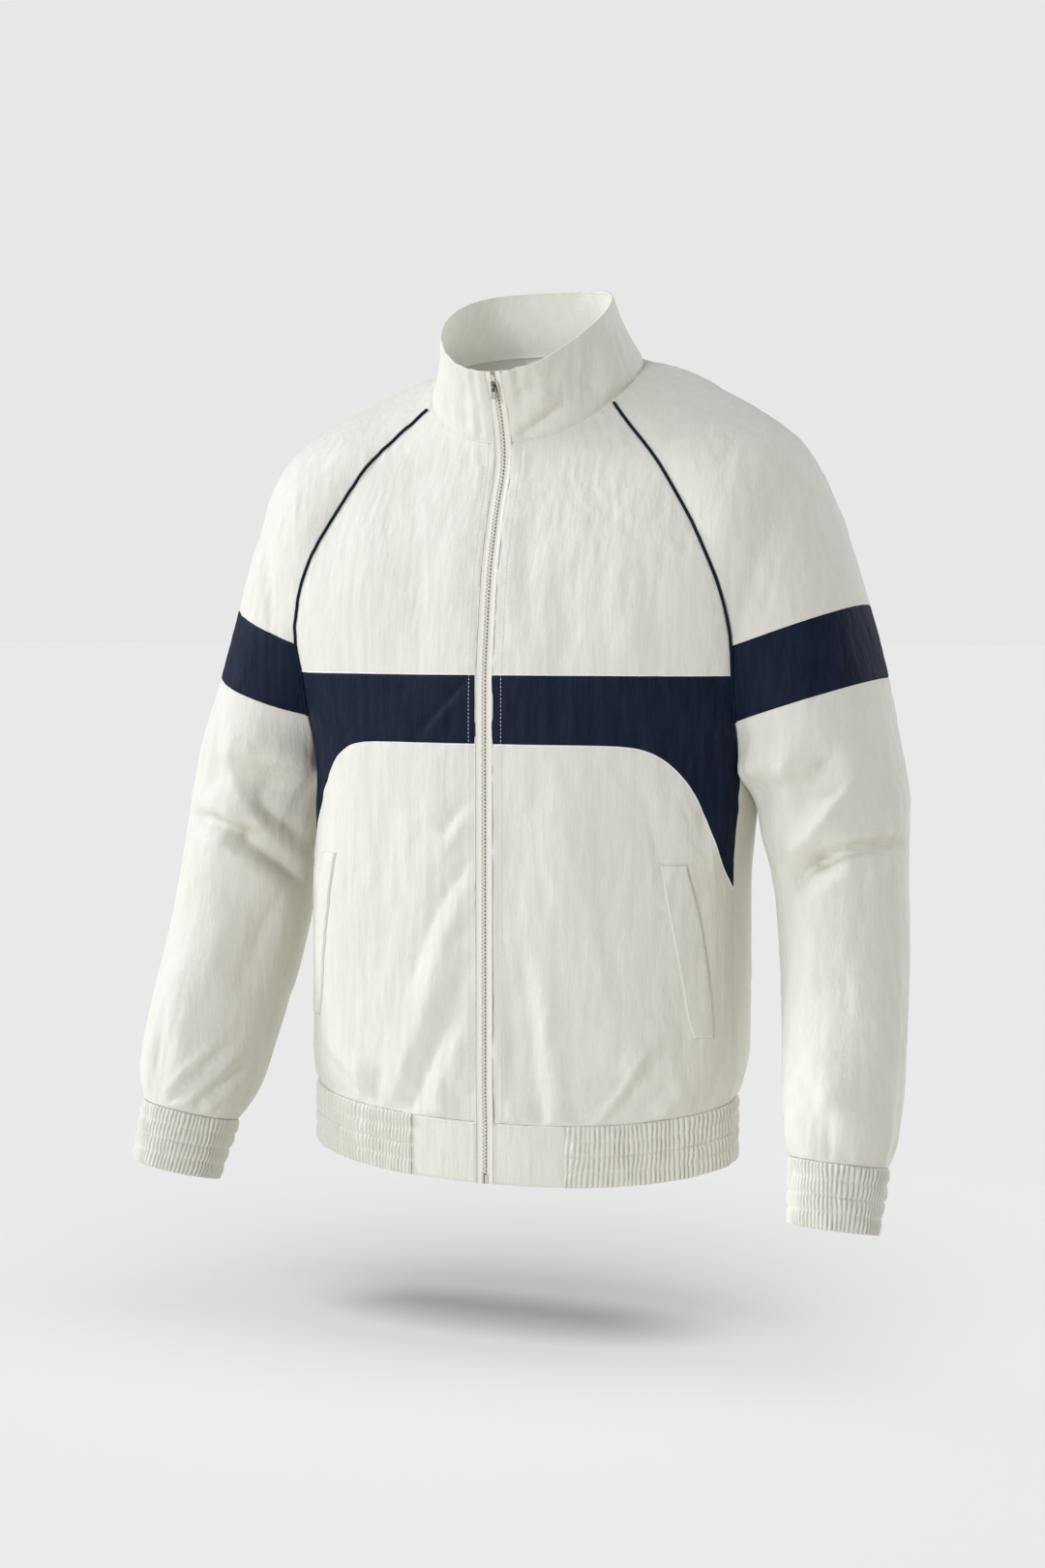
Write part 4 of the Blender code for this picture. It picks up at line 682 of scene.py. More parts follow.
def head_arc(row, phi_share):
    """One arc of the sleeve head, from the front seam (-1) over the arm to the back seam (1).

    point = over - reach (1 - cos) + chord depth sin, leaned by share^3 to meet both seams.
    """
    front, back = FRONT_SEAM[row], BACK_SEAM[row]
    over_x, over_y, over_drop, closing, depth = (
        HEAD[name][row - 1] for name in "over_x over_y over_drop closing depth".split()
    )
    over = np.array([over_x, over_y, -over_drop])
    middle = (front + back) / 2
    middle[0] += UNDERARM_CLEAR * ease((closing - UNDERARM_TURN) / (180 - UNDERARM_TURN))
    middle[1] = max(middle[1], ARM["y"][0])
    reach = (over - middle) / (1 - rounded(closing, HEAD_ROUNDNESS)[1])
    chord = np.array([0, 1.0, 0]) if closing > FULL_TURN else unit(back - front)
    sine, cosine = rounded(phi_share[:, None] * closing, HEAD_ROUNDNESS)
    arc = over - reach + cosine * reach + sine * chord * depth
    fit = np.where(phi_share[:, None] < 0, front - arc[0], back - arc[-1])
    return arc + np.abs(phi_share)[:, None] ** 3 * fit


def arm_ring(row, phi):
    """Points round the arm at a row, which may be fractional. phi is 0 on the outside.

    The section is an ellipse, its long axis at 45 degrees, square to the arm's middle line. Towards
    the cuff it is turned nearly level.
    """
    knots = np.arange(len(ARM["x"]))
    line = np.stack([ARM["x"], ARM["y"], -ARM["drop"], ARM["wide"], ARM["narrow"]], axis=1)
    x, y, z, wide, narrow = through(knots, line, np.array(row))
    ends = (np.clip(row + step, 0, knots[-1]) for step in (0.5, -0.5))
    ahead, behind = (through(knots, line[:, :3], end) for end in ends)
    along = unit(ahead - behind)
    outwards = unit(np.array([1.0, 0, 0]) - along[0] * along)
    forwards = np.cross(along, outwards)
    forwards *= -np.sign(forwards[1])
    slant = np.radians(phi + ARM_ROLL)
    radius = 1 / np.sqrt((np.cos(slant) / wide) ** 2 + (np.sin(slant) / narrow) ** 2)
    angle = np.radians(phi)[:, None]
    ring = radius[:, None] * (np.cos(angle) * outwards - np.sin(angle) * forwards)
    levelled = ease((row - LEVEL_FROM_ROW) / (CUFF_TOP_ROW - LEVEL_FROM_ROW))
    ring[:, 2] += CUFF_LEVEL * levelled * ring[:, 1]
    return np.array([x, y, z]) + ring


def sleeve_grid():
    """The whole sleeve, from the neck seam to the cuff's seam."""
    share = np.linspace(-1, 1, SLEEVE_COLUMNS + 1)
    neck_turn = NECK_FRONT_TURN + (NECK_BACK_TURN - NECK_FRONT_TURN) * (share + 1) / 2
    rows = [neck_seam(neck_turn)]
    rows += [head_arc(row, share) for row in range(1, UNDERARM_ROW + 1)]
    rows += [arm_ring(row, 180 * share) for row in range(CUFF_TOP_ROW + 1)]
    return np.array(rows)


def collar_between(neck_turn, rim_turn, v):
    """Points of the collar: v is 0 at the neck seam and 1 at the rim. It is hollowed slightly."""
    low, high = neck_seam(neck_turn), collar_rim(rim_turn)
    inwards = np.array(COLLAR_CORE) - (low + high) / 2
    inwards[..., 2] = 0
    v = v[:, None, None]
    return (1 - v) * low + v * high + COLLAR_DIP * np.sin(np.pi * v) * unit(inwards)


def collar_grid():
    """The stand collar all the way round, from one edge of the zip to the other."""
    neck_start = edge_turn(OPENING_HALF, NECK_EDGE, NECK_RISE)
    rim_start = edge_turn(OPENING_HALF, RIM_EDGE, RIM_RISE)
    front = np.linspace(neck_start, NECK_FRONT_TURN, FRONT_COLUMNS + 1)
    shoulder = np.linspace(NECK_FRONT_TURN, NECK_BACK_TURN, SLEEVE_COLUMNS + 1)
    back = np.linspace(NECK_BACK_TURN, 180, BACK_COLUMNS // 2 + 1)
    half = np.concatenate([front, shoulder[1:], back[1:]])
    turn = np.concatenate([half, 360 - half[-2::-1]])
    rim_turn = 180 + (turn - 180) * (180 - rim_start) / (180 - neck_start)
    return collar_between(turn, rim_turn, COLLAR_ROWS)


# ---------------------------------------------------------------- fine surfaces

PITCH = 2.4
COLLAR_PITCH = 1.8
NEAR_SEAM = (0.5, 1.2)


def ticks(knots, seams, pitch):
    """Places between the first and last knot, one pitch apart and closer beside each seam.

    Each stretch between knots holds an even number of steps. Returns the places, and the number
    of the place that each knot has.
    """
    places, marks = [knots[:1]], [0]
    for k in range(len(knots) - 1):
        length = knots[k + 1] - knots[k]
        count = max(2, 2 * round(length / pitch / 2))
        inside = np.linspace(0, 1, count + 1)[1:]
        close = np.array(NEAR_SEAM) / length
        if k in seams:
            inside = np.concatenate([close, inside])
        if k + 1 in seams:
            inside = np.concatenate([inside[:-1], (1 - close)[::-1], [1.0]])
        places.append(knots[k] + inside * length)
        marks.append(marks[-1] + len(inside))
    return np.concatenate(places), np.array(marks)


def knots_of(grid):
    """Knots for a grid's rows: the mean distance between rows, added up."""
    step = np.linalg.norm(np.diff(grid, axis=0), axis=-1).mean(axis=1)
    return np.concatenate([[0], np.cumsum(step)])


def refined(grid, row_seams=(), pitch=PITCH):
    """A fine grid on the smooth surface through a coarse one, and the marks of its rows."""
    rows, across = knots_of(grid), knots_of(grid.swapaxes(0, 1))
    row_at, marks = ticks(rows, (0, *row_seams, len(rows) - 1), pitch)
    column_at, _ = ticks(across, (0, len(across) - 1), pitch)
    fine = smooth(rows, grid, row_at).swapaxes(0, 1)
    fine = smooth(across, fine, column_at).swapaxes(0, 1)
    return np.ascontiguousarray(fine), marks


def normals_of(grid, ring=False):
    across = np.gradient(grid, axis=1)
    if ring:
        across = np.roll(grid, -1, axis=1) - np.roll(grid, 1, axis=1)
    return unit(np.cross(across, np.gradient(grid, axis=0)))


def facing(grid, core, ring=False):
    """A grid's normals, turned away from a place inside the garment."""
    normal = normals_of(grid, ring)
    return normal * np.sign(np.sum(normal * (grid - np.array(core))))


# ---------------------------------------------------------------- creases and crinkle

def scattered(*cell):
    """A fixed number from -1 to 1 for each cell of a lattice."""
    i, j, k = (np.asarray(c).astype(np.int64) for c in cell)
    mixed = (i * 73856093) ^ (j * 19349663) ^ (k * 83492791)
    mixed = (mixed & 0xFFFFFFFF) * 1274126177 & 0xFFFFFFFF
    mixed = ((mixed ^ (mixed >> 15)) * 2246822519) & 0xFFFFFFFF
    return ((mixed ^ (mixed >> 13)) & 0xFFFFFF) / 0x7FFFFF - 1.0


def noise(points):
    """Smooth lattice noise from -1 to 1: cell corners blended by 6t^5 - 15t^4 + 10t^3."""
    cell = np.floor(points)
    t = points - cell
    t = t * t * t * (t * (6 * t - 15) + 10)
    total = 0.0
    for corner in np.ndindex(2, 2, 2):
        near = np.array(corner)
        share = np.prod(np.where(near, t, 1 - t), axis=-1)
        total = total + share * scattered(*np.moveaxis(cell + near, -1, 0))
    return total


CELL_JITTER = 0.45
JITTER_SHIFTS = (0, 977, 5081)


def cell_edges(points):
    """How much nearer the nearest scattered dot is than the next: 0 on the edges between cells."""
    cell = np.floor(points)
    first = second = np.full(len(points), np.inf)
    for corner in np.ndindex(3, 3, 3):
        near = cell + np.array(corner) - 1
        i, j, k = near.T
        jitter = np.stack([scattered(i + shift, j, k) for shift in JITTER_SHIFTS], axis=1)
        gap = np.linalg.norm(near + 0.5 + CELL_JITTER * jitter - points, axis=1)
        second = np.minimum(second, np.maximum(first, gap))
        first = np.minimum(first, gap)
    return second - first


def line_place(points, line, reach):
    """For each point, its distance from a line of points, and the nearest place along it."""
    step = np.linalg.norm(np.diff(line, axis=0), axis=1)
    before = np.concatenate([[0], np.cumsum(step)])
    gap = np.full(len(points), np.inf)
    place = np.zeros(len(points))
    for k in np.flatnonzero(step):
        low = np.minimum(line[k], line[k + 1]) - reach
        high = np.maximum(line[k], line[k + 1]) + reach
        near = np.flatnonzero(((points > low) & (points < high)).all(axis=1))
        along = (line[k + 1] - line[k]) / step[k]
        offset = points[near] - line[k]
        t = np.clip(offset @ along, 0, step[k])
        far = np.linalg.norm(offset - t[:, None] * along, axis=1)
        better = far < gap[near]
        chosen = near[better]
        gap[chosen] = far[better]
        place[chosen] = before[k] + t[better]
    return gap, place


def crease_lift(points):
    """Height of all the creases: rise exp(-(sqrt(d^2 + soft^2) - soft) / width) beside each line.

    Along the line the rise grows from its share at the start to the whole and falls again.
    """
    lift = np.zeros(len(points))
    t = np.linspace(0, 1, CREASE_STEPS + 1)[:, None]
    for *places, width, soft, rise, start, end in zip(*CREASES.values()):
        a, b, c = np.reshape(places, (3, 3)) * np.array([1, 1, -1])
        pull = 2 * b - (a + c) / 2
        line = (1 - t) ** 2 * a + 2 * t * (1 - t) * pull + t * t * c
        soft = CREASE_SOFT * soft
        reach = CREASE_REACH * width + soft
        low, high = line.min(axis=0) - reach, line.max(axis=0) + reach
        near = np.flatnonzero(((points > low) & (points < high)).all(axis=1))
        if not len(near):
            continue
        gap, place = line_place(points[near], line, reach)
        share = place / lengths(line)[-1]
        rising = start + (1 - start) * ease(share / END_SHARE)
        falling = end + (1 - end) * ease((1 - share) / END_SHARE)
        bell = np.exp(-(np.sqrt(gap**2 + soft**2) - soft) / width)
        bell *= ease((reach - gap) / (CREASE_FADE * reach))
        lift[near] += np.where(np.isfinite(gap), CREASE_GAIN * rise * rising * falling * bell, 0.0)
    return lift


# Puckers drawn up by a line of stitching: seam, pitch, height, reach from the seam.
PUCKERS = (
    ("zip", 7.5, 0.34, 9.0),
    ("zip", 19.0, 0.5, 16.0),
    ("band_top", 7.0, 0.34, 9.0),
    ("band_foot", 7.0, 0.34, 9.0),
    ("raglan", 8.0, 0.34, 8.0),
    ("raglan_back", 8.0, 0.34, 8.0),
    ("waist", 5.2, 0.75, 7.0),
    ("waist", 10.5, 1.0, 17.0),
    ("waist", 23.0, 1.2, 30.0),
    ("cuff", 4.6, 0.6, 6.0),
    ("cuff", 9.5, 0.9, 15.0),
    ("cuff", 21.0, 1.1, 26.0),
    ("neck", 8.0, 0.3, 8.0),
    ("side", 10.0, 0.4, 10.0),
    ("welt", 8.0, 0.35, 8.0),
    ("sleeve_band", 8.0, 0.3, 8.0),
)
PUCKER_SLANT = 46.0
PUCKER_GAIN = 1.5
PUCKER_FADE = 3.2
PUCKER_WIDTH = 2.2
PUCKER_SEED = 7.3


# How the garment hangs unevenly: where the arms part from the body, where the forearms begin, and
# how far each forearm slims, leans and tilts and each hip sways.
ARM_INSIDE = 203.5
PARTED_FROM = 345.0
PARTED_OVER = 95.0
FORE_FROM = 470.0
FORE_OVER = 140.0
FORE_LEAN = 5.0
CUFF_TILT = 0.105
SLIM_LEFT, SLIM_RIGHT = 0.09, 0.04
SWAY_LEFT, SWAY_RIGHT = 6.0, 3.0
SWAY_ASIDE = (80.0, 100.0)


def posed(points):
    """Points of an even-sided garment, where it hangs a little unevenly below the arms.

    The hips sway towards the wearer's right, x -= sway. Each forearm draws in to its middle line
    by its slimness and leans forwards, and its cuff tilts, z -= tilt (x - middle).
    """
    made = points.copy()
    x, y, z = np.moveaxis(points, -1, 0)
    left = x > 0
    parted = ease((-z - PARTED_FROM) / PARTED_OVER)
    arm = np.abs(x) > ARM_INSIDE
    fore = arm * ease((-z - FORE_FROM) / FORE_OVER)
    middle = np.sign(x) * np.interp(-z, ARM["drop"], ARM["x"])
    slim = arm * parted * np.where(left, SLIM_LEFT, SLIM_RIGHT)
    sway = ease((np.abs(x) - SWAY_ASIDE[0]) / SWAY_ASIDE[1])
    sway = ~arm * parted * sway * np.where(left, SWAY_LEFT, SWAY_RIGHT)
    made[..., 0] -= slim * (x - middle) + sway
    made[..., 1] -= slim * (y - np.interp(-z, ARM["drop"], ARM["y"])) + FORE_LEAN * fore
    made[..., 2] -= CUFF_TILT * fore**2 * (x - middle)
    return made


def sided(points, side):
    """Points made for the wearer's left, put on either side of the body and hung unevenly."""
    return posed(flipped(points, side))


def seam_lines():
    """The seams' lines of points, wearer's left, by name."""
    front, sleeve, back = front_grid(), sleeve_grid(), back_grid()
    welt_drop = np.linspace(WELT["drop"][0], WELT["drop"][-1], 9)
    return {
        "zip": front[:, 0],
        "band_top": front[CHEST_TOP_ROW],
        "band_foot": front[CHEST_FOOT_ROW],
        "raglan": front[:UNDERARM_ROW + 1, -1],
        "raglan_back": sleeve[:UNDERARM_ROW + 1, -1],
        "waist": front[-1],
        "waist_back": back[-1, BACK_COLUMNS // 2:],
        "cuff": sleeve[-1],
        "neck": np.vstack([front[0], sleeve[0]]),
        "neck_back": back[0, BACK_COLUMNS // 2:],
        "side": front[UNDERARM_ROW:, -1],
        "welt": on_front(look_up(WELT, "inner_x", welt_drop)[0], welt_drop),
        "sleeve_band": sleeve[BAND_TOP_ROW],
        "sleeve_band_foot": sleeve[BAND_FOOT_ROW],
    }


SEAM_LINES = seam_lines()


def pucker_lift(points):
    """Height of the puckers that run out from the seams: noise along the seam, fading as e^-d."""
    lift = np.zeros(len(points))
    for number, (name, pitch, height, reach) in enumerate(PUCKERS):
        for group in (key for key in SEAM_LINES if key == name or key.startswith(name + "_")):
            for side, _ in SIDES:
                line = sided(SEAM_LINES[group], side)
                gap, place = line_place(points, line, PUCKER_FADE * reach)
                near = np.flatnonzero(np.isfinite(gap))
                far = gap[near]
                phase = place[near] / pitch + far / PUCKER_SLANT * side
                seed = 0 * far + PUCKER_SEED * number + side
                wave = noise(np.stack([phase, far / (PUCKER_WIDTH * reach), seed], axis=1))
                fade = np.exp(-far / reach) * ease((PUCKER_FADE * reach - far) / reach)
                lift[near] += height * wave * PUCKER_GAIN * fade
    return lift


# Lattice cells of the cloth's waves, in millimetres across, front to back and up.
FINE_CELL = (8.5, 8.5, 62.0)
LONG_CELL = (16.15, 16.15, 80.6)
WAVE_CELL = (42.0, 42.0, 120.0)
CRUMPLE_CELL = (17.0, 17.0, 40.0)
BEND_CELL, SOME_CELL, CRUMPLED_CELL, SPREAD_CELL = 31.0, 70.0, 24.0, 55.0
BEND_BY = (5.0, 5.0, 0.0)
CRUMPLED_BY = (6.0, 6.0, 12.0)

CRINKLE_HEIGHT = 0.6
FINE_SHARE, LONG_SHARE = 0.55, 0.75
LEAST_CRINKLE, MORE_CRINKLE = 0.45, 0.8
SPREAD_GAIN = 0.9
WAVE_HEIGHT = 1.3
CRUMPLE_HEIGHT = 1.5
CRUMPLE_TOP = 0.42
ARM_BESIDE = 205
CHEST_CRUMPLE = 0.25
CHEST_REACH, CHEST_OVER, CHEST_WIDE = 240, 160, 1.6


def crinkle_lift(points):
    """Height of the cloth's fine upright crinkle, its wide soft waves and its flat-topped crumple.

    crinkle = height (1 - 2 |noise|), with the lattice stretched along the cloth and bent by a
    slower noise. Below the shoulder the lattice follows the arm's middle line. crumple is the
    distance from the edges between scattered cells, cut off at a top, and less on the chest.
    """
    x, y, z = np.moveaxis(points, -1, 0)
    arm = np.abs(x) > ARM_BESIDE
    drop = np.clip(-z, ARM["drop"][0], ARM["drop"][-1])
    arm_x, arm_y = (np.interp(drop, ARM["drop"], ARM[name]) - ARM[name][0] for name in "xy")
    place = np.stack([x - arm * np.sign(x) * arm_x, y - arm * arm_y, z], axis=1)

    def waves(cell, seed, at=place):
        return noise(at / np.array(cell) + seed)

    bent = place + waves(BEND_CELL, 11)[:, None] * BEND_BY
    ridges = 1 - 2 * np.abs(waves(FINE_CELL, 0, bent))
    more = 1 - 2 * np.abs(waves(LONG_CELL, 40, bent))
    some = 0.5 + 0.5 * waves(SOME_CELL, 23)
    crinkle = CRINKLE_HEIGHT * (FINE_SHARE * ridges + LONG_SHARE * more)
    crinkle *= LEAST_CRINKLE + MORE_CRINKLE * some
    cells = place + waves(CRUMPLED_CELL, 61)[:, None] * CRUMPLED_BY
    crumple = CRUMPLE_HEIGHT * np.minimum(cell_edges(cells / CRUMPLE_CELL), CRUMPLE_TOP)
    amount = ease(0.5 + SPREAD_GAIN * waves(SPREAD_CELL, 83))
    below_chest = ease((np.maximum(-z, CHEST_WIDE * np.abs(x)) - CHEST_REACH) / CHEST_OVER)
    amount *= CHEST_CRUMPLE + (1 - CHEST_CRUMPLE) * below_chest
    return crinkle + WAVE_HEIGHT * waves(WAVE_CELL, 5) + crumple * amount


HOLD_REACH = 9.0
HOLD_POWER = 0.6
CALM_REACH = 16.0
CALM_SHARE = 0.3
ZIP_BESIDE = 60
ZIP_AHEAD_Y = -40
MEET_ROWS = 8


def held_share(points):
    """How much of its height the cloth keeps: none on the seams of the collar and elastic."""
    share = np.ones(len(points))
    for name in ("waist", "waist_back", "cuff", "neck", "neck_back"):
        for side, _ in SIDES:
            gap, _ = line_place(points, sided(SEAM_LINES[name], side), HOLD_REACH)
            share = np.minimum(share, ease(gap / HOLD_REACH) ** HOLD_POWER)
    return share


def lifted(grid, normal):
    """A fine grid moved along its normals by all its creases, puckers and crinkle.

    Beside the zip, whose tape stiffens the cloth, the height is reduced.
    """
    points = grid.reshape(-1, 3)
    aside, y = np.abs(points[:, 0]), points[:, 1]
    lift = crease_lift(points) + crinkle_lift(points)
    beside_zip = (y < ZIP_AHEAD_Y) & (aside < ZIP_BESIDE)
    calm = CALM_SHARE + (1 - CALM_SHARE) * ease((aside - OPENING_HALF) / CALM_REACH)
    lift = np.where(beside_zip, calm * lift, lift) + pucker_lift(points)
    lift = lift * held_share(points)
    return grid + normal * lift.reshape(grid.shape[:2])[..., None]


def first_columns(grid):
    """A view of a grid's columns as rows, from its first column on."""
    return grid.swapaxes(0, 1)


def last_columns(grid):
    """A view of a grid's columns as rows, from its last column back."""
    return grid[:, ::-1].swapaxes(0, 1)


def meet(a, b, at_a, at_b):
    """Brings two lifted edges together in place, and eases the cloth beside each up to them.

    a and b hold lines of points, the edge first. at_a and at_b say how far along the seam each
    point of a line lies.
    """
    edge_a, edge_b = a[0].copy(), b[0].copy()
    for lines, own, other, at, at_other in (
        (a, edge_a, edge_b, at_a, at_b), (b, edge_b, edge_a, at_b, at_a)
    ):
        change = (between(at, at_other, other) - own) / 2
        for k in range(MEET_ROWS):
            lines[k] += change * (1 - ease(k / MEET_ROWS))


# ---------------------------------------------------------------- meshes

CLOTH = 0.6
DOUBLED_CLOTH = 1.5
ROLL_DEPTH = 0.5
ROLL_REACH = 1.3
FULLNESS = 1.5

SLOTS = {
    "cream": "cream_nylon", "edge": "cream_nylon", "thread": "cream_nylon",
    "navy": "navy_nylon", "tape": "zip_tape", "teeth": "zip_teeth",
}


def placed(name, data):
    """A new object in the scene."""
    made = bpy.data.objects.new(name, data)
    bpy.context.scene.collection.objects.link(made)
    return made


def mesh_of(name, points, faces, look, node=None):
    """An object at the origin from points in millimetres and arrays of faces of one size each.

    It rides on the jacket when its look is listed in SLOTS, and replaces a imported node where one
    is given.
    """
    mesh = bpy.data.meshes.new(name)
    sizes = np.concatenate([np.full(len(group), group.shape[1]) for group in faces])
    corners = np.concatenate([group.ravel() for group in faces])
    mesh.vertices.add(len(points))
    mesh.vertices.foreach_set("co", (np.asarray(points) * MM).astype(np.float32).ravel())
    mesh.loops.add(len(corners))
    mesh.loops.foreach_set("vertex_index", corners.astype(np.int32))
    mesh.polygons.add(len(sizes))
    starts = np.concatenate([[0], np.cumsum(sizes)[:-1]])
    mesh.polygons.foreach_set("loop_start", starts.astype(np.int32))
    mesh.update(calc_edges=True)
    mesh.shade_smooth()
    mesh.materials.append(LOOKS[look])
    piece = placed(name, mesh)
    if look in SLOTS:
        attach(piece, BODY)
    if node:
        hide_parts(node)
    return piece


def quads_of(number):
    """Faces between the rows and columns of a grid of point numbers."""
    low, high = number[:-1], number[1:]
    square = np.stack([low[:, :-1], low[:, 1:], high[:, 1:], high[:, :-1]], axis=-1)
    return square.reshape(-1, 4)


def drawn_in(edge, beside, amount):
    """An edge line moved square to itself towards the line beside it."""
    along = unit(np.gradient(edge, axis=0))
    way = beside - edge
    way -= np.sum(way * along, axis=-1, keepdims=True) * along
    return edge + amount * unit(way)


def inset(grid, amount, ring=False):
    """Draws the open edges of a grid in."""
    grid = grid.copy()
    grid[0] = drawn_in(grid[0], grid[1], amount)
    grid[-1] = drawn_in(grid[-1], grid[-2], amount)
    if not ring:
        grid[:, 0] = drawn_in(grid[:, 0], grid[:, 1], amount)
        grid[:, -1] = drawn_in(grid[:, -1], grid[:, -2], amount)
    return grid


def edge_distance(grid, ring=False):
    """Each point's distance from the nearest edge, measured along its row or column."""
    down = np.linalg.norm(np.diff(grid, axis=0, prepend=grid[:1]), axis=-1).cumsum(axis=0)
    near = np.minimum(down, down[-1] - down)
    if not ring:
        across = np.linalg.norm(np.diff(grid, axis=1, prepend=grid[:, :1]), axis=-1).cumsum(axis=1)
        near = np.minimum(near, np.minimum(across, across[:, -1:] - across))
    return near


def wall(
    name, outer, look, core, thickness=CLOTH, ring=False, inner=None, roll=ROLL_DEPTH, node=None
):
    """A closed thin wall whose shown side is a grid, of odd numbers of rows and columns.

    The shown side turns in at its edges by roll e^-(d/reach)^2. The hidden side has every other
    row and column, and five-sided faces close the edges between the two.
    """
    normal = normals_of(outer, ring)
    if np.sum(normal * (outer - np.array(core))) < 0:
        outer, normal = outer[:, ::-1], -normal[:, ::-1]
        inner = None if inner is None else inner[:, ::-1]
    turned = roll * np.exp(-((edge_distance(outer, ring) / ROLL_REACH) ** 2))
    outer = outer - normal * turned[..., None]
    shown = inset(outer, SEAM / 2, ring)
    if inner is None:
        inner = inset((outer - thickness * normal)[::2, ::2], SEAM / 2, ring)
    count = shown.shape[0] * shown.shape[1]
    front = np.arange(count).reshape(shown.shape[:2])
    behind = np.arange(count, count + inner.shape[0] * inner.shape[1]).reshape(inner.shape[:2])
    if ring:
        front = np.hstack([front, front[:, :1]])
        behind = np.hstack([behind, behind[:, :1]])
    faces = [np.concatenate([quads_of(front), quads_of(behind[:, ::-1])])]
    edges = [(front[0, ::-1], behind[0, ::-1]), (front[-1], behind[-1])]
    if not ring:
        edges += [(front[:, 0], behind[:, 0]), (front[::-1, -1], behind[::-1, -1])]
    faces.append(np.concatenate([
        np.stack([line[:-2:2], line[1:-1:2], line[2::2], back[1:], back[:-1]], axis=1)
        for line, back in edges
    ]))
    points = np.concatenate([shown.reshape(-1, 3), inner.reshape(-1, 3)])
    return mesh_of(name, points, faces, look, node)


def cut_of(grid):
    """Width, length and area of a grid laid flat, in metres: its longest row and column."""
    across, down = (
        np.linalg.norm(np.diff(grid, axis=axis), axis=-1).sum(axis=axis).max() * MM
        for axis in (1, 0)
    )
    area = 0.0
    for corner, one, two in (
        (grid[:-1, :-1], grid[1:, :-1], grid[:-1, 1:]), (grid[1:, 1:], grid[1:, :-1], grid[:-1, 1:])
    ):
        area += np.linalg.norm(np.cross(one - corner, two - corner), axis=-1).sum() / 2 * MM * MM
    return across, down, min(area, across * down)


def piece_of_cloth(node, outer, flat_grid, look, core, gathered_on=None, **settings):
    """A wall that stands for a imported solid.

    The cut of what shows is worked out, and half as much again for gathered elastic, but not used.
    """
    made = wall(node + "_shell", outer, look, core, node=node, **settings)
    across, down, area = cut_of(flat_grid)
    full, held, rests_on = 1.0, "hung", "wearer_shoulders"
    if gathered_on:
        full, held, rests_on = FULLNESS, "gathered", gathered_on
    full * across
    full * area


# ---------------------------------------------------------------- body, sleeves and collar

# Pieces of the fronts and sleeves: grid, first and last row, look, and a place inside.
PIECES = (
    ("front_upper", "front", 0, CHEST_TOP_ROW, "cream", BODY_CORE),
    ("front_band", "front", CHEST_TOP_ROW, CHEST_FOOT_ROW, "navy", BODY_CORE),
    ("front_lower", "front", CHEST_FOOT_ROW, None, "cream", BODY_CORE),
    ("sleeve_upper", "sleeve", 0, BAND_TOP_ROW, "cream", HEAD_CORE),
    ("sleeve_band", "sleeve", BAND_TOP_ROW, BAND_FOOT_ROW, "navy", SLEEVE_CORE),
    ("sleeve_lower", "sleeve", BAND_FOOT_ROW, None, "cream", ARM_CORE),
)


def build_shell():
    """Fronts, back, sleeves and collar.

    Returns the finished grids of the fronts and sleeves by name, and the marks of the front's rows.
    """
    coarse = {"front": front_grid(), "sleeve": sleeve_grid(), "back": back_grid()}
    seams = {
        "front": (CHEST_TOP_ROW, CHEST_FOOT_ROW), "sleeve": (BAND_TOP_ROW, BAND_FOOT_ROW),
        "back": (),
    }
    fine, marks, at, underarm = {}, {}, {}, {}
    for part, grid in coarse.items():
        fine[part], marks[part] = refined(grid, seams[part])
        at[part] = np.interp(np.arange(len(fine[part])), marks[part], np.arange(len(grid)))
        underarm[part] = marks[part][UNDERARM_ROW]
    back = lifted(posed(fine["back"]), facing(fine["back"], BODY_CORE))
    foot, arm_foot, back_foot = underarm["front"], underarm["sleeve"], underarm["back"]
    done = {}
    for side, word in SIDES:
        front, sleeve = (
            lifted(sided(fine[part], side), flipped(facing(fine[part], core), side))
            for part, core in (("front", BODY_CORE), ("sleeve", SLEEVE_CORE))
        )
        own_back = back[:, ::int(side)]
        head = first_columns(sleeve[:arm_foot + 1]), last_columns(sleeve[:arm_foot + 1])
        at_head = at["sleeve"][:arm_foot + 1]
        meet(last_columns(front[:foot + 1]), head[0], at["front"][:foot + 1], at_head)
        meet(last_columns(own_back[:back_foot + 1]), head[1], at["back"][:back_foot + 1], at_head)
        front_side, back_side = last_columns(front[foot:]), last_columns(own_back[back_foot:])
        meet(front_side, back_side, -front_side[0, :, 2], -back_side[0, :, 2])
        arm = sleeve[arm_foot:]
        meet(first_columns(arm), last_columns(arm), np.arange(len(arm)), np.arange(len(arm)))
        done["front" + word], done["sleeve" + word] = front, sleeve

    for side, word in SIDES:
        for node, part, first, last, look, core in PIECES:
            rows = marks[part]
            last = last or len(rows) - 1
            grid = done[part + word][rows[first]:rows[last] + 1]
            flat = flipped(coarse[part][first:last + 1], side)
            piece_of_cloth(node + word, grid, flat, look, flipped(core, side))
    piece_of_cloth("back", back, coarse["back"], "cream", BODY_CORE)
    flat = collar_grid()
    collar, _ = refined(flat, pitch=COLLAR_PITCH)
    collar = lifted(collar, facing(collar, COLLAR_CORE))
    piece_of_cloth("collar", collar, flat, "cream", COLLAR_CORE, thickness=DOUBLED_CLOTH)
    return done, marks["front"]


# ---------------------------------------------------------------- gathered bands

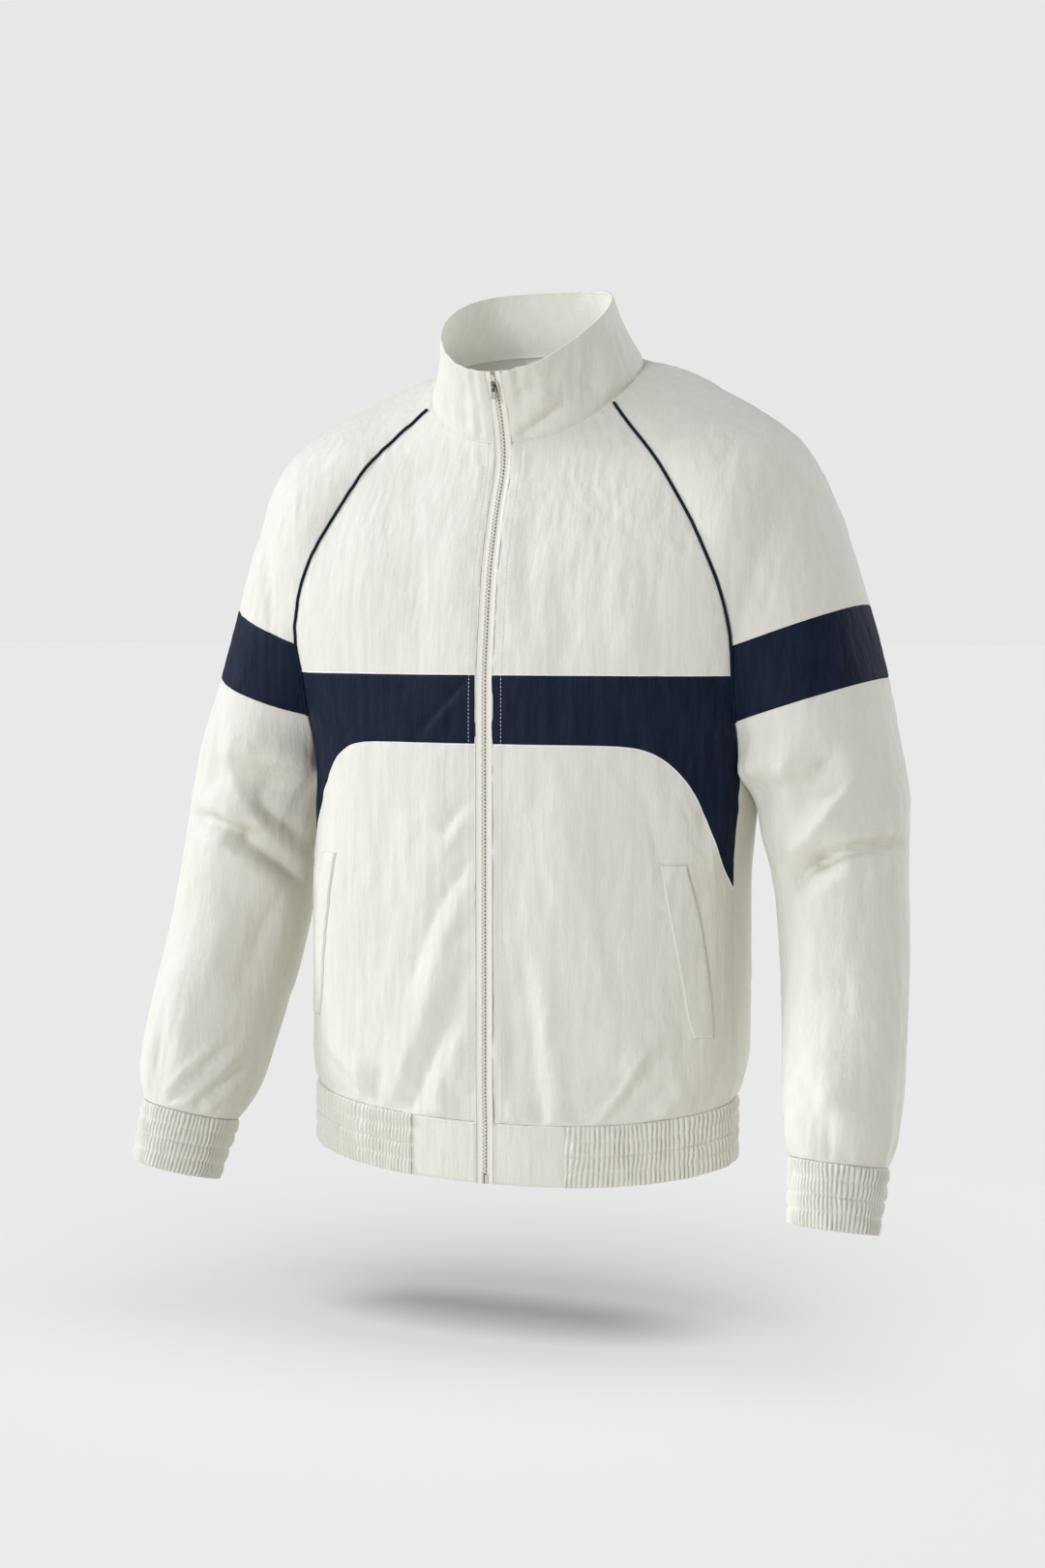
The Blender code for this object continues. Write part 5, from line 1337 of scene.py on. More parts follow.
GATHER_STEPS = 8
BAND_ROW_PITCH = 1.1
BAND_THICK = 0.8
STITCH_ROWS = 3
GATHER_CREST = 0.62
FLAT_AT_STITCH = 0.34
SWELL_POWER = 0.4
STITCH_PULL = 0.8
STITCH_POWER = 0.35
HEM_SWELL = 0.85
HEM_IN = 0.3
TOP_HELD = 0.35
TOP_OVER = 3.0
WAIST_GATHERS, WAIST_GATHER_HEIGHT, WAIST_SEED = 196, 3.2, 3.0
CUFF_GATHERS, CUFF_GATHER_HEIGHT, CUFF_SEED = 66, 2.9, 50.0
CUFF_POINTS = 96
TAB_COLUMNS = 6
TAB_PITCH = 1.6
TAB_PROUD = 0.3
TAB_UNDER = 0.9
TAB_WAVES = 0.35
TAB_CELL = (9.0, 9.0, 23.0)

# Slow waves of the gathers: length along the band and across it, seed, and amount.
NEAR_WANDER = (12.0, 22.0, 0, 0.4)
FAR_WANDER = (38.0, 90.0, 9, 0.8)
UNEVEN = (9.0, 13.0, 21, 0.3)
UNEVEN_MEAN = 0.78
WIDE = (17.0, 40.0, 33, 0.55)


def gathered(high, low, gathers, height, ring, seed):
    """Shown and hidden grids of an elastic band hung between two lines of points.

    The height is |sin(pi phase)|^0.62, with rounded crests and sharp valleys. The phase wanders
    along the band and the height sinks at each of the three lines of stitching.
    """
    length = lengths(high)[-1]
    fall = np.linalg.norm(low - high, axis=1).mean()
    rows = 2 * round(fall / BAND_ROW_PITCH / 2) + 1
    v = np.linspace(0, 1, rows)[:, None, None]
    plain = (1 - v) * high + v * low
    away = normals_of(plain, ring)
    away *= np.sign(np.sum(away * (plain - plain.mean(axis=(0, 1)))))
    turn = np.linspace(0, 1, len(high), endpoint=not ring)[None]
    down = v[..., 0]

    def drift(along, across, shift, amount):
        """Noise that meets itself where the band closes."""
        angle = 2 * np.pi * turn
        radius = length / (2 * np.pi * along)
        level = down * fall / across + (seed + shift)
        place = np.broadcast_arrays(radius * np.cos(angle), radius * np.sin(angle), level)
        return amount * noise(np.stack(place, axis=-1))

    phase = gathers * turn + drift(*NEAR_WANDER) + drift(*FAR_WANDER)
    crest = np.abs(np.sin(np.pi * phase)) ** GATHER_CREST
    across_rows = np.abs(np.sin(np.pi * (STITCH_ROWS + 1) * down))
    swell = FLAT_AT_STITCH + (1 - FLAT_AT_STITCH) * across_rows**SWELL_POWER
    last_row = ease((down - 1 + 0.5 / (STITCH_ROWS + 1)) * 2 * (STITCH_ROWS + 1))
    swell = swell + (HEM_SWELL - swell) * last_row
    uneven = UNEVEN_MEAN + drift(*UNEVEN)
    wide = drift(*WIDE)
    pull = STITCH_PULL * (1 - across_rows**STITCH_POWER) * (1 - last_row)
    lift = height * swell * crest * uneven + wide * swell - pull
    lift = lift * ease(TOP_HELD + down * fall / TOP_OVER)
    outer = plain + away * lift[..., None]
    outer[-1] -= away[-1] * HEM_IN
    return outer, (plain - away * BAND_THICK)[::2, ::2]


def evenly(line, count, ring):
    """A smooth line through the given points, in even steps."""
    if ring:
        line = np.vstack([line, line[:1]])
    at = lengths(line)
    made = smooth(at, line, np.linspace(0, at[-1], count + 1))
    return made[:-1] if ring else made


def build_waistband():
    """The gathered waistband from one flat end round the back to the other, and both flat ends."""
    start = n_of_x(TAB_END, np.array(WAIST_DROP_BACK))
    front = waist_band_grid(FRONT_CUT, np.linspace(start, 1, WAIST_POINTS))
    back = waist_band_grid(BACK_CUT, np.linspace(1, 0, WAIST_POINTS))
    half = np.hstack([front, back[:, 1:]])
    whole = posed(np.hstack([half, flipped(half, -1)[:, -2::-1]]))
    high, low = (evenly(whole[row], WAIST_GATHERS * GATHER_STEPS, False) for row in (0, -1))
    outer, inner = gathered(high, low, WAIST_GATHERS, WAIST_GATHER_HEIGHT, False, WAIST_SEED)
    piece_of_cloth(
        "waist_elastic", outer, whole, "cream", BODY_CORE, "back_shell", inner=inner, roll=0
    )
    level = np.full(TAB_COLUMNS, WAIST_DROP_BACK)
    n = n_of_x(np.linspace(OPENING_HALF, TAB_END + TAB_UNDER, TAB_COLUMNS), level)
    tab = waist_band_grid(FRONT_CUT, n)
    fine, _ = refined(tab, pitch=TAB_PITCH)
    normal = facing(fine, BODY_CORE)
    tabs = {}
    for side, word in SIDES:
        grid = flipped(fine, side)
        proud = TAB_WAVES * noise(grid / np.array(TAB_CELL) + 3) + TAB_PROUD
        tabs[word] = grid + flipped(normal, side) * proud[..., None]
        flat = flipped(tab, side)
        piece_of_cloth(
            "waist_tab" + word, tabs[word], flat, "cream", BODY_CORE, thickness=DOUBLED_CLOTH
        )
    return tabs


def build_cuffs():
    phi = np.linspace(-180, 180, CUFF_POINTS, endpoint=False)
    lines = [
        evenly(arm_ring(row, phi), CUFF_GATHERS * GATHER_STEPS, True)
        for row in (CUFF_TOP_ROW, CUFF_TOP_ROW + 1)
    ]
    for side, word in SIDES:
        high, low = (sided(line, side) for line in lines)
        seed = CUFF_SEED + 10 * side
        outer, inner = gathered(high, low, CUFF_GATHERS, CUFF_GATHER_HEIGHT, True, seed)
        piece_of_cloth(
            "cuff" + word, outer, np.stack([high, low]), "cream", flipped(CUFF_CORE, side),
            "sleeve_lower" + word + "_shell", ring=True, inner=inner, roll=0,
        )


# ---------------------------------------------------------------- zip, trims and stitching

def front_strip(xs):
    """Lines down the front at the given distances from the middle, from the rim to the hem."""
    xs = np.array(xs, float)
    turns = [
        np.array([edge_turn(x, edge, rise) for x in xs])
        for edge, rise in ((NECK_EDGE, NECK_RISE), (RIM_EDGE, RIM_RISE))
    ]
    collar = collar_between(*turns, COLLAR_ROWS[::-1])
    drops = np.repeat(-front_grid()[1:-1, :1, 2], len(xs), axis=1)
    n = n_of_x(xs, np.full(len(xs), WAIST_DROP_BACK))
    return np.vstack([collar, tuck(on_front(xs, drops)), waist_band_grid(FRONT_CUT, n)])


TOOTH_PITCH = 3.0
TOOTH_REACH = 2.7
TOOTH_OVERLAP = 0.75
TOOTH_HEIGHT = 1.575
TOOTH_DEPTH = 1.9
TOOTH_ROUND = 0.55
TOOTH_STEPS = (10, 7)
TOOTH_PROUD = 0.5
TOOTH_SLOPE = 0.5
CHAIN_START = 4.0
CHAIN_END = 8.5


def bead(steps, roundness):
    """Points and faces of a rounded block, 2 across each way.

    x = |cos a cos b|^r, y = |sin a cos b|^r and z = |sin b|^r, each with its sign.
    """
    around, up = steps
    a = np.linspace(0, 2 * np.pi, around, endpoint=False)
    b = np.linspace(-np.pi / 2, np.pi / 2, up)[1:-1, None]
    sides = [np.cos(a) * np.cos(b), np.sin(a) * np.cos(b), np.sin(b) + 0 * a]
    body = np.stack([np.sign(s) * np.abs(s) ** roundness for s in sides], axis=-1)
    points = np.concatenate([body.reshape(-1, 3), [[0, 0, -1.0], [0, 0, 1.0]]])
    number = np.arange(around * (up - 2)).reshape(up - 2, around)
    number = np.hstack([number, number[:, :1]])
    low, high = len(points) - 2, len(points) - 1
    caps = [
        np.stack([number[0, 1:], number[0, :-1], np.full(around, low)], axis=1),
        np.stack([number[-1, :-1], number[-1, 1:], np.full(around, high)], axis=1),
    ]
    return points, [quads_of(number), np.concatenate(caps)]


def copies(name, shape, frames, middles, look, node=None):
    """One mesh of many copies of a shape. frames holds each copy's three axes, with its sizes."""
    points, faces = shape
    placed_points = np.einsum("pk,nkj->npj", points, frames) + middles[:, None]
    shift = len(points) * np.arange(len(middles))[:, None, None]
    many = [(group[None] + shift).reshape(-1, group.shape[1]) for group in faces]
    return mesh_of(name, placed_points.reshape(-1, 3), many, look, node)


def build_teeth():
    """Two rows of moulded teeth that mesh on the zip's middle line."""
    line = front_strip([TAPE_EDGE])[:, 0]
    line[:, 0] = 0
    length = lengths(line)
    frames, middles = [], []
    for side, _ in SIDES:
        start = CHAIN_START + (side + 1) * TOOTH_PITCH / 4
        at = np.arange(start, length[-1] - CHAIN_END, TOOTH_PITCH)
        place, ahead, behind = (
            smooth(length, line, np.clip(at + step, 0, length[-1]))
            for step in (0, TOOTH_SLOPE, -TOOTH_SLOPE)
        )
        down = unit(ahead - behind)
        out = np.cross(down, [1.0, 0, 0])
        out *= -np.sign(out[:, 1:2])
        middle = place - out * (TOOTH_DEPTH / 2 - TOOTH_PROUD)
        middle[:, 0] = side * (TOOTH_REACH - TOOTH_OVERLAP) / 2
        across = np.broadcast_to([(TOOTH_REACH + TOOTH_OVERLAP) / 2, 0, 0], down.shape)
        axes = np.stack([across, down * TOOTH_HEIGHT / 2, out * TOOTH_DEPTH / 2], axis=1)
        axes[:, 0] *= np.sign(np.linalg.det(axes[0]))
        frames.append(axes)
        middles.append(middle)
    frames, middles = np.concatenate(frames), np.concatenate(middles)
    shape = bead(TOOTH_STEPS, TOOTH_ROUND)
    copies("zip_teeth", shape, frames, middles, "teeth", node="zip_chain")


ASKEW = (0.13, 1.0, 0.07)


def tube(name, line, radius, look, sides, node=None):
    """A round cord along a line: a circle carried square to it, closed at both ends."""
    along = unit(np.gradient(line, axis=0))
    side = unit(np.cross(along, ASKEW))
    up = np.cross(side, along)
    a = np.linspace(0, 2 * np.pi, sides, endpoint=False)[:, None]
    ring = np.cos(a) * side[:, None] + np.sin(a) * up[:, None]
    points = line[:, None] + radius * ring
    number = np.arange(len(line) * sides).reshape(len(line), sides)
    around = np.hstack([number, number[:, :1]])
    caps = np.stack([number[0], number[-1, ::-1]])
    faces = [quads_of(around[:, ::-1]), caps[:, ::-1]]
    return mesh_of(name, points.reshape(-1, 3), faces, look, node)


CORD_SIDES = 12
NECK_CORD_RADIUS = 0.9
NECK_CORD_SINK = 0.72
NECK_CORD_START = 1.0
NECK_CORD_POINTS = 361
NECK_CORE = (0, 0, -30)


def build_neck_seam():
    """The bound seam allowance under the neck seam, from one edge of the zip to the other."""
    start = edge_turn(OPENING_HALF + NECK_CORD_START, NECK_EDGE, NECK_RISE)
    line = neck_seam(np.linspace(start, 360 - start, NECK_CORD_POINTS))
    line = line + NECK_CORD_SINK * unit(np.array(NECK_CORE) - line)
    tube("neck_seam_binding", line, NECK_CORD_RADIUS, "cream", CORD_SIDES)


WOVEN_FROM = 0.4
WOVEN_UNDER = 0.9
WOVEN_COLUMNS = 17
WOVEN_SINK = 0.02
WOVEN_THICK = 0.9
WOVEN_ROLL = 0.1
RIM_CORD = 0.35
RIM_CORD_IN = 1.2
RIM_CORD_REACH = 0.7


def build_tapes():
    """A woven face on each tape, from the teeth to the cloth, level but for its thicker rim."""
    xs = np.linspace(WOVEN_FROM, OPENING_HALF + WOVEN_UNDER, WOVEN_COLUMNS)
    fine, _ = refined(front_strip(xs))
    from_cord = fine[..., 0] - OPENING_HALF + RIM_CORD_IN
    rib = RIM_CORD * np.exp(-((from_cord / RIM_CORD_REACH) ** 2))
    raised = fine + facing(fine, BODY_CORE) * (rib - WOVEN_SINK)[..., None]
    for side, word in SIDES:
        wall(
            "zip_tape" + word + "_weave", flipped(raised, side), "tape", BODY_CORE,
            thickness=WOVEN_THICK, roll=WOVEN_ROLL,
        )


EDGE_IN = 0.8
EDGE_SINK = 0.25
EDGE_RADIUS = 0.5
EDGE_SIDES = 8


def build_pressed_edges(done, marks):
    """A pressed edge on the cream cloth along the chest band's top and foot, lighter as a painted
    highlight.
    """
    for _, word in SIDES:
        grid = done["front" + word]
        for name, part, edge in (
            ("top", grid[:marks[CHEST_TOP_ROW] + 1], "foot"),
            ("foot", grid[marks[CHEST_FOOT_ROW]:], "top"),
        ):
            line, out = outward_line(part, edge, EDGE_IN)
            line = (line - out * EDGE_SINK)[1:-1]
            tube("band_edge" + word + "_" + name, line, EDGE_RADIUS, "edge", EDGE_SIDES)


PIPING_RADIUS = 1.3
PIPING_OUT = 0.815
PIPING_START = 6.0
PIPING_STEP = 1.5


def build_piping(done, marks):
    """A navy cord on each front raglan seam, from the collar down to the chest band."""
    rows = slice(0, marks[BAND_FOOT_ROW] + 1)
    for side, word in SIDES:
        front, sleeve = done["front" + word], done["sleeve" + word]
        out = facing(front, BODY_CORE)[rows, -1]
        out = unit(out + facing(sleeve, flipped(SLEEVE_CORE, side))[rows, 0])
        line = front[rows, -1] + out * PIPING_OUT
        at = lengths(line)
        line = smooth(at, line, np.arange(PIPING_START, at[-1], PIPING_STEP))
        node = "piping" + word
        tube(node + "_cord", line, PIPING_RADIUS, "navy", CORD_SIDES, node)


WELT_PROUD = 1.5
WELT_CLOTH = 1.0
WELT_ROLL = 0.9
WELT_POINTS = (97, 17)
WELT_SKIP = (8, 4)


def build_welts():
    """The slanted welts, laid on the creased lower fronts."""
    rows, wide = WELT_POINTS
    drop = np.linspace(WELT["drop"][0], WELT["drop"][-1], rows)[:, None]
    inner, outer = look_up(WELT, "inner_x outer_x", drop)
    x = inner + (outer - inner) * np.linspace(0, 1, wide)
    base = on_front(x, np.repeat(drop, wide, axis=1))
    welts = {}
    for side, word in SIDES:
        normal = flipped(facing(base, BODY_CORE), side)
        welts[word] = lifted(sided(base, side), normal) + normal * WELT_PROUD
        flat = flipped(base[::WELT_SKIP[0], ::WELT_SKIP[1]], side)
        piece_of_cloth(
            "pocket_welt" + word, welts[word], flat, "cream", BODY_CORE,
            thickness=WELT_CLOTH, roll=WELT_ROLL,
        )
    return welts


STITCH_PITCH = 3.2
STITCH_LENGTH = 2.3
STITCH_RADIUS = 0.26
STITCH_STEPS = (6, 5)
STITCH_ROUND = 0.8
STITCH_SLOPE = 0.8
STITCH_PROUD = 0.1
ZIP_STITCH_IN = 7.4
TAB_STITCH_IN = 2.6
WELT_STITCH_IN = 1.7


def inside_line(grid, side, amount):
    """The line on a grid that lies a distance in from its first or last column or row."""
    if side in ("top", "foot"):
        grid = grid.swapaxes(0, 1)
    if side in ("right", "foot"):
        grid = grid[:, ::-1]
    far = np.linalg.norm(np.diff(grid, axis=1, prepend=grid[:, :1]), axis=-1).cumsum(axis=1)
    k = np.argmax(far > amount, axis=1)
    row = np.arange(len(grid))
    share = ((amount - far[row, k - 1]) / (far[row, k] - far[row, k - 1]))[:, None]
    return (1 - share) * grid[row, k - 1] + share * grid[row, k]


def outward_line(grid, side, amount):
    """A line inside an edge of a grid of the body, and the outward way at each of its points."""
    line = inside_line(grid, side, amount)
    return line, unit(inside_line(grid + facing(grid, BODY_CORE), side, amount) - line)


def build_stitches(name, lines):
    """Dashes of thread laid along lines, each with its outward way, as one mesh."""
    frames, middles = [], []
    for line, out in lines:
        at = lengths(line)
        places = np.arange(STITCH_PITCH / 2, at[-1], STITCH_PITCH)
        place, ahead, behind = (
            between(places + step, at, line) for step in (0, STITCH_SLOPE, -STITCH_SLOPE)
        )
        along = unit(ahead - behind)
        side = unit(np.cross(along, between(places, at, out)))
        up = np.cross(side, along)
        sizes = (along * STITCH_LENGTH / 2, side * STITCH_RADIUS, -up * STITCH_RADIUS)
        frames.append(np.stack(sizes, axis=1))
        middles.append(place + up * STITCH_PROUD)
    shape = bead(STITCH_STEPS, STITCH_ROUND)
    copies(name, shape, np.concatenate(frames), np.concatenate(middles), "thread")


def build_stitching(done, tabs, welts):
    """Stitches beside the zip, round the waistband's flat ends and along the welts."""
    sewn = {"zip_topstitching": [], "tab_stitching": [], "welt_stitching": []}
    for side, word in SIDES:
        for name, grid, edges, amount in (
            ("zip_topstitching", done["front" + word], ("left",), ZIP_STITCH_IN + side),
            ("tab_stitching", tabs[word], ("left", "right", "top", "foot"), TAB_STITCH_IN),
            ("welt_stitching", welts[word], ("left", "right"), WELT_STITCH_IN),
        ):
            sewn[name] += [outward_line(grid, edge, amount) for edge in edges]
    for name, lines in sewn.items():
        build_stitches(name, lines)


# ---------------------------------------------------------------- finishes

class Net:
    """One shader value, for writing shader sums as Python. node() makes any other node."""

    def __init__(self, tree, socket=None):
        self.tree, self.socket = tree, socket

    def node(self, kind, settings, sockets, output=0):
        made = self.tree.nodes.new(kind)
        for name, value in settings.items():
            setattr(made, name, value)
        for name, value in sockets.items():
            if isinstance(value, Net):
                self.tree.links.new(value.socket, made.inputs[name])
            else:
                made.inputs[name].default_value = value
        return Net(self.tree, made.outputs[output])

    def sum(self, operation, first, second):
        return self.node("ShaderNodeMath", {"operation": operation}, {0: first, 1: second})

    def __add__(self, other):
        return self.sum("ADD", self, other)

    def __sub__(self, other):
        return self.sum("SUBTRACT", self, other)

    def __mul__(self, other):
        return self.sum("MULTIPLY", self, other)

    def __truediv__(self, other):
        return self.sum("DIVIDE", self, other)

    def __pow__(self, other):
        return self.sum("POWER", self, other)

    def __rsub__(self, other):
        return self.sum("SUBTRACT", other, self)

    def __rtruediv__(self, other):
        return self.sum("DIVIDE", other, self)

    __radd__ = __add__
    __rmul__ = __mul__

    def grain(self, scale, detail=2.0):
        """Noise at this place."""
        return self.node(
            "ShaderNodeTexNoise", {}, {"Vector": self, "Scale": scale, "Detail": detail}
        )

    def feed(self, shader, name):
        self.tree.links.new(self.socket, shader.inputs[name])

    def bump(self, shader, strength, distance):
        """Bumps of this height, on a shader."""
        made = self.node(
            "ShaderNodeBump", {}, {"Height": self, "Strength": strength, "Distance": distance}
        )
        made.feed(shader, "Normal")


def material_of(name, colour, roughness):
    """A plain finish, and its shader for anything more."""
    made = bpy.data.materials.new(name)
    made.use_nodes = True
    shader = made.node_tree.nodes["Principled BSDF"]
    shader.inputs["Base Color"].default_value = (*colour, 1.0)
    shader.inputs["Roughness"].default_value = roughness
    return made, shader


def place_on(made):
    """Where a point lies on the object that has a finish, in metres."""
    return Net(made.node_tree).node("ShaderNodeTexCoord", {}, {}, "Object")


def two_tone(shader, mask, inner, outer):
    """The inner colour where the mask is 1 and the outer where it is 0."""
    mixed = mask.node(
        "ShaderNodeMix", {"data_type": "RGBA"},
        {"Factor": mask, "A": (*outer, 1.0), "B": (*inner, 1.0)}, "Result",
    )
    mixed.feed(shader, "Base Color")


# Noise on the nylon: its stretch up the cloth, scale, detail, and share of the bump.
STREAK = (0.14, 150.0, 4.0, 0.75)
CRINKLE = (0.4, 330.0, 3.0, 0.3)
WEAVE = (1.0, 2600.0, 1.0, 0.07)
# Painted shade of the sunk streaks: where it starts on the streak noise, and how fast it grows.
STREAK_SHADE_FROM = 0.35
STREAK_SHADE_GAIN = 2.2
NYLON_ROUGHNESS = 0.62
NYLON_BUMP = 0.8
SHEEN_ROUGHNESS = 0.5


def nylon(name, light, dark, sheen, gloss, relief):
    """Crinkled nylon: bumps of streaks, crinkle and weave, with painted shade in the sunk streaks.
    """
    made, shader = material_of(name, light, NYLON_ROUGHNESS)
    place = place_on(made)
    waves = []
    for stretch, scale, detail, _ in (STREAK, CRINKLE, WEAVE):
        drawn = place.node(
            "ShaderNodeMapping", {"vector_type": "POINT"},
            {"Vector": place, "Scale": (1.0, 1.0, stretch)},
        )
        waves.append(drawn.grain(scale, detail))
    streak, crinkle, weave = waves
    # Painted shade and highlight: darker where the streak bump sinks, lighter where it rises.
    two_tone(shader, (streak - STREAK_SHADE_FROM) * STREAK_SHADE_GAIN, light, dark)
    height = streak * STREAK[-1] + crinkle * CRINKLE[-1] + weave * WEAVE[-1]
    height.bump(shader, NYLON_BUMP, relief)
    for socket, value in (
        ("Sheen Weight", sheen), ("Sheen Roughness", SHEEN_ROUGHNESS), ("Specular IOR Level", gloss)
    ):
        shader.inputs[socket].default_value = value
    return made


def from_middle(place):
    """How far aside of the zip's middle line a place is, in metres."""
    across = place.node("ShaderNodeSeparateXYZ", {}, {"Vector": place}, "X")
    return across.sum("ABSOLUTE", across, 0.0)


def within(aside, half, soft):
    """1 nearer the middle line than half, 0 past it, over a soft edge."""
    return aside.node("ShaderNodeClamp", {}, {"Value": (half - aside) / soft})


TAPE_CREAM = (0.83, 0.805, 0.715)
# A tan painted shade on the tape behind the teeth, so that the gaps between them read dark.
TAPE_GAP_SHADE = (0.68, 0.62, 0.51)
GAP_SHADE_HALF, GAP_SHADE_SOFT = 0.0029, 0.0006
RIB_PITCH = 0.0011
RIB_SHARE = 0.3
WOVEN_GRAIN = 1900.0
WOVEN_BUMP, WOVEN_RELIEF = 0.5, 0.0003


def tape_finish():
    """Woven tape with fine ribs down its length, painted tan near its middle line as shade between
    the teeth.
    """
    made, shader = material_of("woven cream tape", TAPE_CREAM, 0.75)
    place = place_on(made)
    aside = from_middle(place)
    # Painted shade: the tape turns tan near the middle line, where it shows between the teeth.
    two_tone(shader, within(aside, GAP_SHADE_HALF, GAP_SHADE_SOFT), TAPE_GAP_SHADE, TAPE_CREAM)
    ribs = aside.sum("SINE", aside * (2 * math.pi / RIB_PITCH), 0.0)
    height = ribs * RIB_SHARE + place.grain(WOVEN_GRAIN)
    height.bump(shader, WOVEN_BUMP, WOVEN_RELIEF)
    return made


NICKEL = (0.17, 0.16, 0.15)
ENAMEL = (0.60, 0.56, 0.48)
NICKEL_SOFT = 0.0003
NICKEL_METALLIC = 0.9
NICKEL_GRAIN = 700.0
GRAIN_SHARE, SMOOTHEST = 0.3, 0.2


def metal_finish(name, half):
    """Dark nickel near the zip's middle line, and cream enamel past half."""
    made, shader = material_of(name, NICKEL, 0.35)
    place = place_on(made)
    mask = within(from_middle(place), half, NICKEL_SOFT)
    two_tone(shader, mask, NICKEL, ENAMEL)
    (mask * NICKEL_METALLIC).feed(shader, "Metallic")
    (place.grain(NICKEL_GRAIN) * GRAIN_SHARE + SMOOTHEST).feed(shader, "Roughness")
    return made


FLOOR_SHADE = 0.80
FLOOR_GLOW = 0.03


def floor_paper():
    """Matt paper that gives back a little light of its own."""
    made, shader = material_of("pale floor", (FLOOR_SHADE,) * 3, 1.0)
    shader.inputs["Specular IOR Level"].default_value = 0.0
    shader.inputs["Emission Color"].default_value = (1, 1, 1, 1)
    shader.inputs["Emission Strength"].default_value = FLOOR_GLOW
    return made


# Each nylon: its own colour, a darker colour painted into the sunk streaks as shade, sheen,
# specular level and bump distance.
CREAM = ((0.74, 0.722, 0.64), (0.70, 0.678, 0.59), 0.04, 0.22, 0.0013)
NAVY = ((0.0095, 0.016, 0.037), (0.0045, 0.0085, 0.021), 0.0, 0.10, 0.0022)

LOOKS = {
    "cream": nylon("crinkled cream nylon", *CREAM),
    "navy": nylon("crinkled navy nylon", *NAVY),
    # The pressed edge is the cream cloth in a lighter, more neutral colour: a painted highlight
    # along the fold.
    "edge": material_of("pressed cream edge", (0.86, 0.86, 0.84), 0.6)[0],
    "teeth": material_of("moulded cream teeth", (0.80, 0.77, 0.68), 0.38)[0],
    "thread": material_of("cream thread", (0.78, 0.76, 0.70), 0.7)[0],
    "tape": tape_finish(),
    "slider": metal_finish("nickel and enamel", 0.0024),
    "foot": metal_finish("enamelled box", 0.0009),
    "metal": metal_finish("dark nickel", 0.1),
    "floor": floor_paper(),
}
PAINTED = {
    "zip_tape_left": "tape", "zip_tape_right": "tape", "zip_pull_tab": "metal",
    "zip_slider": "slider", "zip_foot": "foot",
}


# ---------------------------------------------------------------- studio

CAMERA_TURN = 24.05
CAMERA_AWAY = 2.483
CAMERA_HEIGHT = -0.208
CAMERA_AIM = (-0.0195, -0.352)
LENS = 65.47
FLOOR_Z = -0.813
FLOOR_HALF = 60.0
BACKDROP = 0.80
AIR = 0.31

# Each light's turn from the camera, height in degrees, strength on a sheet that faces it, spread,
# tint, and whether it lights the floor alone or everything but the floor.
DAYLIGHT = (0.96, 1.0, 1.10)
LIGHTS = (
    ("key light", -104.0, 27.0, 0.52, 14.0, DAYLIGHT, False),
    ("high left light", -96.0, 56.0, 0.15, 34.0, DAYLIGHT, False),
    ("front light", -42.0, 14.0, 0.43, 16.0, DAYLIGHT, False),
    ("back light", 112.0, 24.0, 0.42, 50.0, DAYLIGHT, False),
    ("floor light", 20.0, 80.0, 0.68, 64.0, (1.0, 1.0, 1.0), True),
)
SHADOW_CASTERS = ("back_", "front_", "waist_")
COLLAR_LIGHT_AT = (0.012, -0.034, -0.004)
COLLAR_LIGHT_POWER = 0.11
COLLAR_LIGHT_RADIUS = 0.03


def build_camera():
    turn = math.radians(CAMERA_TURN)
    eye = Vector((math.sin(turn) * CAMERA_AWAY, -math.cos(turn) * CAMERA_AWAY, CAMERA_HEIGHT))
    right = Vector((math.cos(turn), math.sin(turn), 0))
    aim = right * CAMERA_AIM[0] + Vector((0, 0, CAMERA_AIM[1]))
    lens = bpy.data.cameras.new("camera")
    lens.sensor_fit = "AUTO"
    lens.sensor_width = 36.0
    lens.lens = LENS
    camera = placed("camera", lens)
    camera.location = eye
    camera.rotation_euler = (aim - eye).to_track_quat("-Z", "Y").to_euler()
    bpy.context.scene.camera = camera


def build_floor():
    corners = np.array([[-1, -1, 0], [1, -1, 0], [1, 1, 0], [-1, 1, 0]]) * FLOOR_HALF
    corners[:, 2] = FLOOR_Z
    floor = mesh_of("floor", corners / MM, [np.arange(4)[None]], "floor")
    return floor


